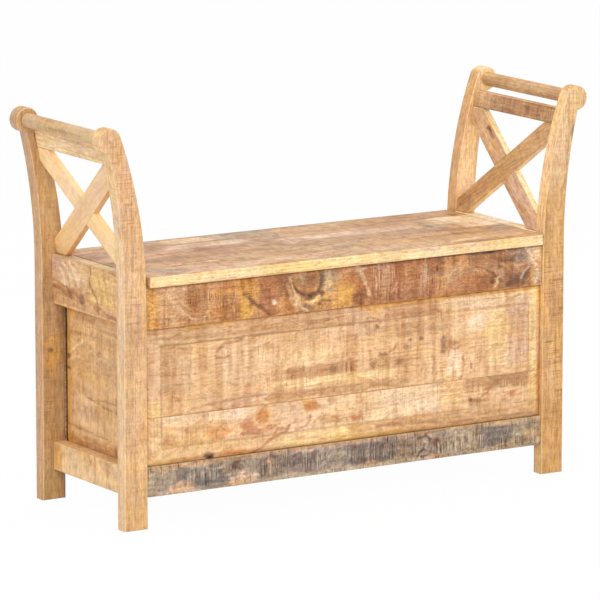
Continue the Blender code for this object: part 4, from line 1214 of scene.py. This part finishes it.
            (-190, -60, 66, 102, 16, 6, "slate", 0.75), (0, 100, 64, 104, 16, 6, "flint", 0.75),
            (100, 150, 60, 106, 16, 6, "taupe", 0.7), (196, 288, 58, 106, 16, 6, "pewter", 0.7),
            (286, 360, 66, 100, 16, 6, "flint", 0.75), (350, 425, 56, 112, 16, 6, "pewter", 0.75),
        )},
        "marks": {"-y": (
            (-348, 64, 30, 11, "putty", 1), (-225, 68, 34, 14, "putty", 1),
            (-165, 92, 7, 7, "biscuit", 0.95), (165, 84, 16, 20, 30, "pewter", 0.9),
            (188, 88, 8, 8, "bark", 0.9), (188, 61, 22, 5, "tan", 0.7), (48, 66, 16, 6, "tan", 0.6),
            (398, 78, 20, 6, "biscuit", 0.8), (-412, 76, 14, 20, "pewter", 0.8),
        )},
        "veins": {"-y": (
            (2.6, 150, 96, 166, 102, 176, 96, 172, 84, 158, 74, 150, 66, "coffee", 0.95),
            (2.2, 162, 92, 170, 90, 164, 80, "ash", 0.9), (2.6, 158, 64, 172, 66, 178, 74, "coffee", 0.9),
            (1.8, -165, 90, -165, 70, "putty", 0.9), (1.6, -298, 96, -280, 93, -262, 95, "ash", 0.8),
            (1.8, 290, 60, 340, 68, 380, 72, 420, 80, "putty", 0.7),
        )},
        "saw_marks": {"-y": ((0, 84, 440, 40, 1),)},
        "scrapes": {"-y": (
            (-110, 84, 90, 18, 0.7), (235, 80, 50, 20, 0.9), (330, 84, 60, 18, 0.7),
            (-300, 88, 70, 14, 0.7), (45, 84, 50, 16, 0.6),
        )},
    },
}
FRONT_LINES = (
    FRONT_BEVEL / 3, FRONT_BEVEL * 2 / 3, FRONT_BEVEL,
    FRONT_BORDER - STEP_HALF, FRONT_BORDER, FRONT_BORDER + STEP_HALF,
)


def dress_front():
    for node, finish in (("front_top_rail", WEATHERED_WOOD), ("front_bottom_rail", GREY_WOOD)):
        dress(node, board(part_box(node), even(RAIL_ARRIS), FRONT_STEP), "xzy", FRONT_LOOKS[node], finish)
    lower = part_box("front_panel_lower")
    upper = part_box("front_panel_upper")
    seam = (lower[1][2] + upper[0][2]) / 2
    half = lower[1][0]
    lines_x = [sign * (half - inset) for sign in (-1, 1) for inset in FRONT_LINES]
    for node, edge_z in (("front_panel_lower", lower[0][2]), ("front_panel_upper", upper[1][2])):
        inward = np.sign(seam - edge_z)
        lines_z = [edge_z + inward * inset for inset in FRONT_LINES]
        level = front_level(half, edge_z, seam, lower[0][1], lower[1][1])
        shape = raised(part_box(node), (0, 2, 1), level, FRONT_STEP, (lines_x, lines_z))
        dress(node, shape, "xzy", FRONT_LOOKS[node])


# Sides

SIDE_TOP_LOOK = {
    "base": (220, 178, 138), "streaks": 0.4, "blotches": 0.6, "sawn": 0.35, "pith": (30, -30), "sway": 22,
    "ripple": 5, "curl": 14, "faces": {"+z": (214, 184, 144), "-z": (220, 176, 122)},
}
SIDE_LOOKS = {
    "side_top_rail_left": {
        **SIDE_TOP_LOOK, "seed": 95,
        "bands": {"-x": (
            (0, 150, 400, 470, 14, 5, "putty", 0.7), (-10, 150, 350, 400, 12, 5, "fawn", 0.8),
            (-150, 0, 385, 470, 12, 6, "straw", 0.8), (-150, 10, 340, 385, 12, 6, "tan", 0.6),
            (-140, 140, 350, 366, 9, 1.5, "honey", 0.7), (-140, 140, 446, 470, 9, 2, "biscuit", 0.7),
        )},
        "marks": {"-x": (
            (28, 384, 9, 13, "bark", 0.95), (70, 391, 13, 8, "umber", 0.85),
            (100, 388, 14, 8, "taupe", 0.7), (-26, 378, 12, 10, "cinnamon", 0.8),
            (-82, 370, 24, 6, "toffee", 0.8), (-44, 392, 4, 8, "toffee", 0.7),
            (-60, 440, 18, 6, "tan", 0.7), (50, 424, 26, 10, "milk", 0.7), (134, 375, 8, 14, "fawn", 0.8),
        )},
        "veins": {"-x": (
            (3, -2, 418, -8, 412, -18, 404, -26, 394, -30, 380, -34, 368, "umber", 0.9),
            (2.4, -4, 448, -6, 436, 0, 426, -4, 416, "walnut", 0.8),
            (3.4, 132, 408, 108, 406, 80, 398, 50, 392, 20, 384, "walnut", 0.85),
            (2.6, 130, 396, 104, 394, 76, 384, 48, 380, "umber", 0.8),
            (2.2, 118, 436, 104, 430, 92, 418, 86, 404, "milk", 0.85),
            (2, 106, 440, 92, 432, 80, 420, 72, 402, "hazel", 0.75),
            (2.2, 96, 442, 82, 436, 70, 422, 62, 404, "milk", 0.85),
            (2, 86, 444, 70, 438, 58, 424, 50, 404, "hazel", 0.7),
            (2.2, 74, 446, 58, 438, 46, 424, 38, 406, "milk", 0.8),
            (1.8, 62, 446, 44, 440, 32, 426, 26, 408, "hazel", 0.65),
            (1.8, 126, 428, 118, 418, 112, 404, "fawn", 0.7),
            (2.2, 44, 446, 30, 442, 18, 430, 12, 412, "cream", 0.7),
            (1.8, -20, 440, -34, 428, -40, 412, -44, 396, "hazel", 0.7),
            (1.6, -50, 442, -60, 428, -58, 414, -66, 398, "hazel", 0.7),
            (1.6, -80, 436, -88, 422, -84, 404, -92, 388, "hazel", 0.65),
            (2.2, -36, 380, -60, 372, -90, 368, -118, 366, "walnut", 0.8),
            (1.6, -106, 430, -112, 410, -108, 392, "fawn", 0.6),
        )},
        "saw_marks": {"-x": ((60, 384, 80, 18, 1), (-60, 400, 40, 40, 0.5))},
    },
    "side_top_rail_right": {
        **SIDE_TOP_LOOK, "faces": {"+z": (250, 224, 182), "-z": (220, 176, 122)}, "seed": 101,
    },
    "side_bottom_rail_left": {
        "seed": 107, "base": (228, 188, 138), "streaks": 0.5, "blotches": 0.5, "sawn": 0.35,
        "pith": (20, -50), "faces": {"+z": (226, 186, 134)},
        "marks": {"-x": (
            (122, 82, 20, 24, "amber", 0.8), (20, 78, 14, 9, "biscuit", 0.7),
            (-60, 74, 40, 6, "cream", 0.6),
        )},
    },
    "side_bottom_rail_right": {"seed": 113, "base": (226, 184, 134), "streaks": 0.55, "sawn": 0.35},
    "side_panel_left": {
        "seed": 119, "base": (214, 169, 118), "streaks": 0.4, "blotches": 0.45, "sawn": 0.4,
        "pith": (100, 60), "curl": 12,
        "bands": {"-x": (
            # The near-black band from 125 to 140 mm, at the panel's rear end, is painted shade in the corner
            # against the rear leg.
            (103, 140, 60, 400, 4, 9, "amber", 0.9), (125, 140, 60, 400, 1, 9, "soot", 1),
            (-66, 44, 283, 343, 12, 8, "honey", 0.6), (24, 94, 153, 203, 12, 8, "putty", 0.7),
            (-130, 106, 100, 113, 12, 4, "hazel", 0.7), (4, 94, 209, 239, 12, 6, "tan", 0.6),
        )},
        "marks": {"-x": (
            (118, 266, 10, 5, "coffee", 0.9), (120, 245, 13, 4, "coffee", 0.9),
            (-51, 118, 5, 12, "taupe", 0.8), (-36, 262, 26, 14, "tan", 0.6), (60, 340, 30, 6, "fawn", 0.6),
        )},
        "veins": {"-x": (
            (1.9, -70, 192, -16, 193, 24, 199, 54, 206, "walnut", 0.85),
            (1.7, -56, 205, -16, 205, 14, 201, "walnut", 0.75),
            (1.7, 124, 141, 74, 143, 14, 139, -36, 135, "cinnamon", 0.85),
            (1.7, 124, 121, 54, 115, -26, 115, "toffee", 0.7),
            (2.2, 108, 275, 92, 285, 74, 295, 62, 305, "cream", 0.8),
            (2, 108, 262, 90, 270, 70, 274, "sand", 0.75),
            (2, 100, 250, 84, 262, 60, 262, 40, 254, "fawn", 0.65),
            (1.8, 54, 343, 14, 339, -36, 329, -66, 331, "hazel", 0.7),
            (2, 60, 293, 44, 297, 24, 291, "hazel", 0.7),
            (2, 20, 270, -10, 282, -40, 276, -56, 262, "sand", 0.6),
            (1.8, 10, 256, -20, 270, -44, 264, "fawn", 0.6),
        )},
        "saw_marks": {"-x": ((44, 225, 40, 16, 0.9), (14, 173, 40, 26, 0.7))},
    },
    "side_panel_right": {
        "seed": 125, "base": (218, 176, 126), "streaks": 0.6, "blotches": 0.6, "sawn": 0.4,
    },
}


def dress_sides():
    for side_name in ("left", "right"):
        for place in ("side_top_rail_", "side_bottom_rail_"):
            node = place + side_name
            dress(node, board(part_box(node), even(RAIL_ARRIS), BOARD_STEP), "yzx", SIDE_LOOKS[node])
        node = "side_panel_" + side_name
        low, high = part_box(node)
        back, field = sorted((low[0], high[0]), key=abs)
        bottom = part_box("side_bottom_rail_" + side_name)[1][2]
        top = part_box("side_top_rail_" + side_name)[0][2]
        level = side_level(low[1], high[1], bottom, top, field, back)
        lines_y = (low[1] + SIDE_BEVEL, high[1] - SIDE_BEVEL)
        lines_z = (bottom, top, bottom + SIDE_BEVEL, top - SIDE_BEVEL)
        shape = raised((low, high), (1, 2, 0), level, BOARD_STEP, (lines_y, lines_z))
        dress(node, shape, "yzx", SIDE_LOOKS[node])


# Legs and arms

LEG_LOOK = {
    "streaks": 0.3, "blotches": 0.35, "chatter": 0.15, "sawn": 0.2, "pith": (25, -60), "sway": 8, "curl": 5,
    # The legs' arrises are fully worn and carry the full painted highlight
    "calm": {"-x": 0.55}, "worn_and_highlit": 1,
}
LEG_LOOKS = {
    "leg_front_left": {
        **LEG_LOOK, "seed": 131, "base": (220, 176, 123),
        "faces": {"-x": (222, 185, 142), "+x": (222, 176, 128)},
        "bands": {"-y": (
            (-520, -440, 440, 730, 4, 30, "putty", 0.7),
        ), "-x": (
            (-160, -130, 450, 730, 4, 30, "sand", 0.7),
        )},
        "marks": {"-y": (
            (-444, 175, 24, 80, "apricot", 0.6), (-492, 697, 6, 4, "toffee", 0.5),
            (-444, 372, 22, 60, "tan", 0.6), (-452, 500, 24, 40, "tan", 0.6),
            (-470, 610, 16, 30, "apricot", 0.6),
        )},
        "veins": {"-y": (
            (1.2, -467, 155, -444, 156, -421, 154, "hazel", 0.5), (1.2, -467, 240, -421, 241, "hazel", 0.5),
        )},
        "saw_marks": {"-y": (
            (-446, 395, 26, 150, 0.8), (-462, 590, 50, 120, 0.8), (-444, 150, 24, 90, 0.5),
        )},
    },
    "leg_front_right": {
        **LEG_LOOK, "blotches": 0.5, "sawn": 0.4, "seed": 137, "base": (210, 162, 106),
        "faces": {"-x": (240, 198, 144), "+x": (220, 178, 128)},
        "bands": {"-y": ((430, 530, 520, 730, 4, 30, "sand", 0.7),)},
        "marks": {"-y": (
            (444, 330, 16, 60, "fawn", 0.6), (486, 634, 6, 18, "taupe", 0.75),
            (446, 520, 18, 40, "tan", 0.6), (440, 180, 18, 50, "apricot", 0.6),
        )},
        "veins": {"-y": (
            (1.8, 446, 596, 462, 566, 478, 590, "fawn", 0.7),
            (1.8, 440, 560, 458, 528, 474, 556, "fawn", 0.7),
            (1.8, 432, 528, 452, 492, 468, 520, "fawn", 0.7),
        )},
        "saw_marks": {"-y": ((446, 280, 30, 200, 1), (456, 480, 40, 60, 0.5))},
    },
    "leg_rear_left": {
        **LEG_LOOK, "seed": 143, "base": (194, 154, 106),
        "faces": {"-x": (198, 156, 114), "+y": (214, 172, 124), "+x": (214, 170, 122)},
        "marks": {"-y": ((-446, 275, 20, 36, "amber", 0.7), (-450, 275, 5, 5, "coffee", 0.8))},
        "saw_marks": {"-y": ((-446, 300, 26, 200, 0.8),)},
    },
    "leg_rear_right": {
        **LEG_LOOK, "seed": 149, "base": (240, 200, 150),
        "faces": {"-x": (212, 164, 112), "+y": (216, 174, 126), "+x": (222, 180, 130)},
        "marks": {"-y": ((480, 660, 30, 50, "cream", 0.6),)},
    },
}
ARM_LOOKS = {
    "arm_rod_left": {
        "seed": 151, "base": (206, 173, 130), "streaks": 0.4, "blotches": 0.35, "chatter": 0.15,
        "sawn": 0.3,
        "marks": {"+z": ((-492, 40, 12, 60, "toffee", 0.6),), "-x": ((0, 697, 70, 4, "walnut", 0.6),)},
        "saw_marks": {"-x": ((0, 697, 150, 20, 0.9),)},
    },
    "arm_rod_right": {
        "seed": 157, "base": (198, 158, 110), "streaks": 0.5, "blotches": 0.4, "chatter": 0.15, "sawn": 0.3,
        "marks": {"+z": ((492, 0, 5, 110, "rust", 0.7),)},
    },
    "arm_slat_left": {
        "seed": 163, "base": (238, 204, 160), "streaks": 0.45, "blotches": 0.35, "chatter": 0.1,
        "sawn": 0.2,
    },
    "arm_slat_right": {
        "seed": 167, "base": (184, 142, 98), "streaks": 0.6, "blotches": 0.8, "sawn": 0.9,
        "faces": {"+z": (214, 172, 122)},
        "bands": {"-x": (
            (82, 140, 640, 690, 8, 4, "honey", 0.7), (-20, 30, 640, 690, 8, 4, "toffee", 0.6),
        )},
        "marks": {"-x": (
            (-40, 660, 5, 12, "bark", 0.8), (-58, 656, 12, 9, "cinnamon", 0.7),
            (-72, 664, 4, 12, "umber", 0.7), (18, 654, 16, 4, "walnut", 0.6),
        )},
        "saw_marks": {"-x": ((0, 663, 150, 20, 1),)},
    },
    "arm_brace_front_high_left": {
        "seed": 173, "base": (238, 198, 150), "streaks": 0.15, "blotches": 0.25, "chatter": 0.1,
        "sawn": 0.05, "faces": {"-z": (232, 186, 128)}, "slope": -36,
    },
    "arm_brace_rear_high_left": {
        "slope": 36, "seed": 179, "base": (248, 212, 166), "streaks": 0.15, "blotches": 0.25,
        "chatter": 0.1, "sawn": 0.05,
    },
    "arm_brace_front_high_right": {
        "slope": -36, "seed": 181, "base": (197, 153, 106), "streaks": 0.4, "blotches": 0.45,
        # The pale downward face (-z) is painted light where the brace's underside falls into shade, and the
        # pale top face (+z) is a painted highlight on its top edge.
        "chatter": 0.2, "sawn": 0.3, "faces": {"-z": (250, 214, 164), "+z": (226, 184, 130)},
        "marks": {"-x": (
            (118, 474, 26, 14, -36, "toffee", 0.75), (126, 466, 5, 4, "bark", 0.7),
            (40, 545, 12, 7, -36, "toffee", 0.7), (-60, 612, 30, 8, -36, "tan", 0.7),
        )},
    },
    "arm_brace_rear_high_right": {
        "slope": 36, "seed": 191, "base": (211, 166, 120), "streaks": 0.45, "blotches": 0.5, "chatter": 0.2,
        # The pale top face (+z) is a painted highlight on the brace's top edge.
        "sawn": 0.3, "faces": {"+z": (255, 226, 164)},
        "bands": {"-x": ((-140, -20, 430, 560, 12, 12, "putty", 0.8),)},
        "marks": {"-x": (
            (72, 613, 10, 5, 40, "bark", 0.9), (58, 600, 22, 4, 40, "umber", 0.8),
            (42, 586, 16, 6, 40, "amber", 0.8), (78, 600, 30, 3, 38, "cream", 0.8),
            (-43, 527, 14, 4, 36, "toffee", 0.7), (-65, 490, 18, 5, 36, "hazel", 0.7),
            (-90, 480, 20, 4, 36, "toffee", 0.6),
        )},
    },
}
ARM_FINISH = {"left": PLANED_WOOD, "right": LEG_WOOD}


def dress_legs():
    for side_name, side in (("left", -1), ("right", 1)):
        for end_name in ("front", "rear"):
            node = f"leg_{end_name}_{side_name}"
            low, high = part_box(node)
            dress(node, leg(side, low[1], high[1]), "zxy", LEG_LOOKS[node], LEG_WOOD)


def dress_arms():
    for side_name, side in (("left", -1), ("right", 1)):
        node = "arm_rod_" + side_name
        low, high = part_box(node)
        radius = (high[0] - low[0]) / 2
        shape = rod((side * SCROLL_X, SCROLL_Z), (low[1], high[1]), radius, ARM_ARRIS, ROD_STEP)
        dress(node, shape, "yxz", ARM_LOOKS[node], ARM_FINISH[side_name])
        node = "arm_slat_" + side_name
        low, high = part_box(node)
        dress(node, slat(side, (low[1:], high[1:])), "yzx", ARM_LOOKS[node], LEG_WOOD)
        low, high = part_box("arm_brace_front_high_" + side_name)
        (front, bottom), (rear, top) = low[1:], high[1:]
        falling = ((front, top), (rear, bottom))
        rising = ((front, bottom), (rear, top))
        crossed = (("front_high", falling, rising, -1), ("rear_high", rising, falling, 1))
        for name, own, other, over in crossed:
            node = f"arm_brace_{name}_{side_name}"
            crossing = np.subtract(other[1], other[0])
            shape = brace(*own, crossing, over, side, ((front, bottom), (rear, top)))
            dress(node, shape, "yzx", ARM_LOOKS[node], ARM_FINISH[side_name])


# Back and inside

HIDDEN_LOOK = {"streaks": 0.6, "blotches": 0.4, "sawn": 0.5}
HIDDEN_BASES = ((192, 150, 102), (210, 170, 122), (218, 178, 128))
HIDDEN_BOARDS = {
    "rear_top_rail": "xzy", "rear_bottom_rail": "xzy", "rear_panel_lower": "xzy", "rear_panel_upper": "xzy",
    "floor_bearer_front": "xzy", "floor_bearer_rear": "xzy",
    "floor_board_1": "xyz", "floor_board_2": "xyz", "floor_board_3": "xyz",
    "corner_post_front_left": "zxy", "corner_post_front_right": "zxy",
    "corner_post_rear_left": "zxy", "corner_post_rear_right": "zxy",
}


def dress_back_and_inside():
    for i, (node, axes) in enumerate(HIDDEN_BOARDS.items()):
        look = {**HIDDEN_LOOK, "seed": 200 + 6 * i, "base": HIDDEN_BASES[i % 3]}
        dress(node, board(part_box(node), even(HIDDEN_ARRIS), HIDDEN_STEP), axes, look, ROUGH_WOOD)
    for node, piece in frame["nodes"].items():
        finish = {"steel_fittings": STEEL}.get(SLOT_OF[node], BATTEN_WOOD if "batten" in node else None)
        if finish:
            for slot in piece.material_slots:
                slot.material = finish


# Studio

CAMERA_AIM = np.array([0.0, 0.003, 0.330])
CAMERA_TURN, CAMERA_RISE, CAMERA_DISTANCE = -0.556686, 0.186792, 9.3091
CAMERA_LENS, CAMERA_SENSOR = 306.7, 36.0
CAMERA_SHIFT = (-0.0038, 0.0129)
LAMPS = (
    ("key", (-2.6, -3.4, 3.0), 2.6, 91.0),
    ("fill", (3.4, -2.6, 1.8), 3.0, 40.0),
    ("top", (0.0, 0.6, 3.6), 3.0, 45.0),
    ("side", (-4.0, 0.4, 1.4), 2.4, 15.0),
    ("low", (-1.4, -3.6, 0.3), 1.6, 9.0),
)
LAMP_AIM = Vector((0.0, 0.0, 0.35))
ROOM_LIGHT = 0.62
FLOOR_SIZE = 12.0
FLOOR_GLOW = 0.98
FLOOR_SHADE = 0.86


def set_camera():
    """A camera that looks from the photograph's direction and distance."""
    flat = np.array([np.sin(CAMERA_TURN), -np.cos(CAMERA_TURN), 0.0])
    back = flat * np.cos(CAMERA_RISE) + np.array([0.0, 0.0, np.sin(CAMERA_RISE)])
    right = np.array([np.cos(CAMERA_TURN), np.sin(CAMERA_TURN), 0.0])
    camera = bpy.data.objects.new("camera", bpy.data.cameras.new("camera"))
    camera.data.lens = CAMERA_LENS
    camera.data.sensor_width = CAMERA_SENSOR
    camera.data.shift_x, camera.data.shift_y = CAMERA_SHIFT
    turn = Matrix(np.column_stack([right, np.cross(back, right), back]).tolist()).to_4x4()
    camera.matrix_world = Matrix.Translation((CAMERA_AIM + back * CAMERA_DISTANCE).tolist()) @ turn
    bpy.context.scene.collection.objects.link(camera)
    bpy.context.scene.camera = camera


def set_floor():
    """A pale floor that the camera sees as nearly white, with the bench's soft shadow on it."""
    mesh = bpy.data.meshes.new("studio_floor")
    corners = [(-1, -1), (1, -1), (1, 1), (-1, 1)]
    mesh.from_pydata([(x * FLOOR_SIZE, y * FLOOR_SIZE, 0) for x, y in corners], [], [(0, 1, 2, 3)])
    floor = bpy.data.objects.new("studio_floor", mesh)
    bpy.context.scene.collection.objects.link(floor)
    paint = Finish("studio_floor")
    matt = paint.add("ShaderNodeBsdfDiffuse", {}, {"Color": (FLOOR_SHADE, FLOOR_SHADE, FLOOR_SHADE, 1)})
    glow = paint.add("ShaderNodeEmission", {}, {"Color": (1, 1, 1, 1), "Strength": 1.0})
    mixed = paint.add("ShaderNodeMixShader", {}, {0: FLOOR_GLOW * paint.seen_directly(), 1: matt, 2: glow})
    paint.add("ShaderNodeOutputMaterial", {}, {"Surface": mixed})
    mesh.materials.append(paint.material)


def set_lights():
    """Large soft boxes in a bright room."""
    for name, place, size, watts in LAMPS:
        lamp = bpy.data.lights.new(name, "AREA")
        lamp.shape = "SQUARE"
        lamp.size = size
        lamp.energy = watts
        piece = bpy.data.objects.new(name, lamp)
        piece.location = place
        piece.rotation_euler = (Vector(place) - LAMP_AIM).to_track_quat("Z", "Y").to_euler()
        bpy.context.scene.collection.objects.link(piece)
    world = bpy.data.worlds.new("studio")
    bpy.context.scene.world = world
    world.use_nodes = True
    room = Nodes(world.node_tree)
    light = room.add("ShaderNodeBackground", {}, {"Color": (1, 1, 1, 1), "Strength": ROOM_LIGHT})
    white = room.add("ShaderNodeBackground", {}, {"Color": (1, 1, 1, 1), "Strength": 1.0})
    mixed = room.add("ShaderNodeMixShader", {}, {0: room.seen_directly(), 1: light, 2: white})
    room.add("ShaderNodeOutputWorld", {}, {"Surface": mixed})


set_camera()
set_floor()
set_lights()
bpy.context.scene.view_settings.view_transform = "Standard"
dress_lid()
dress_front()
dress_sides()
dress_legs()
dress_arms()
dress_back_and_inside()
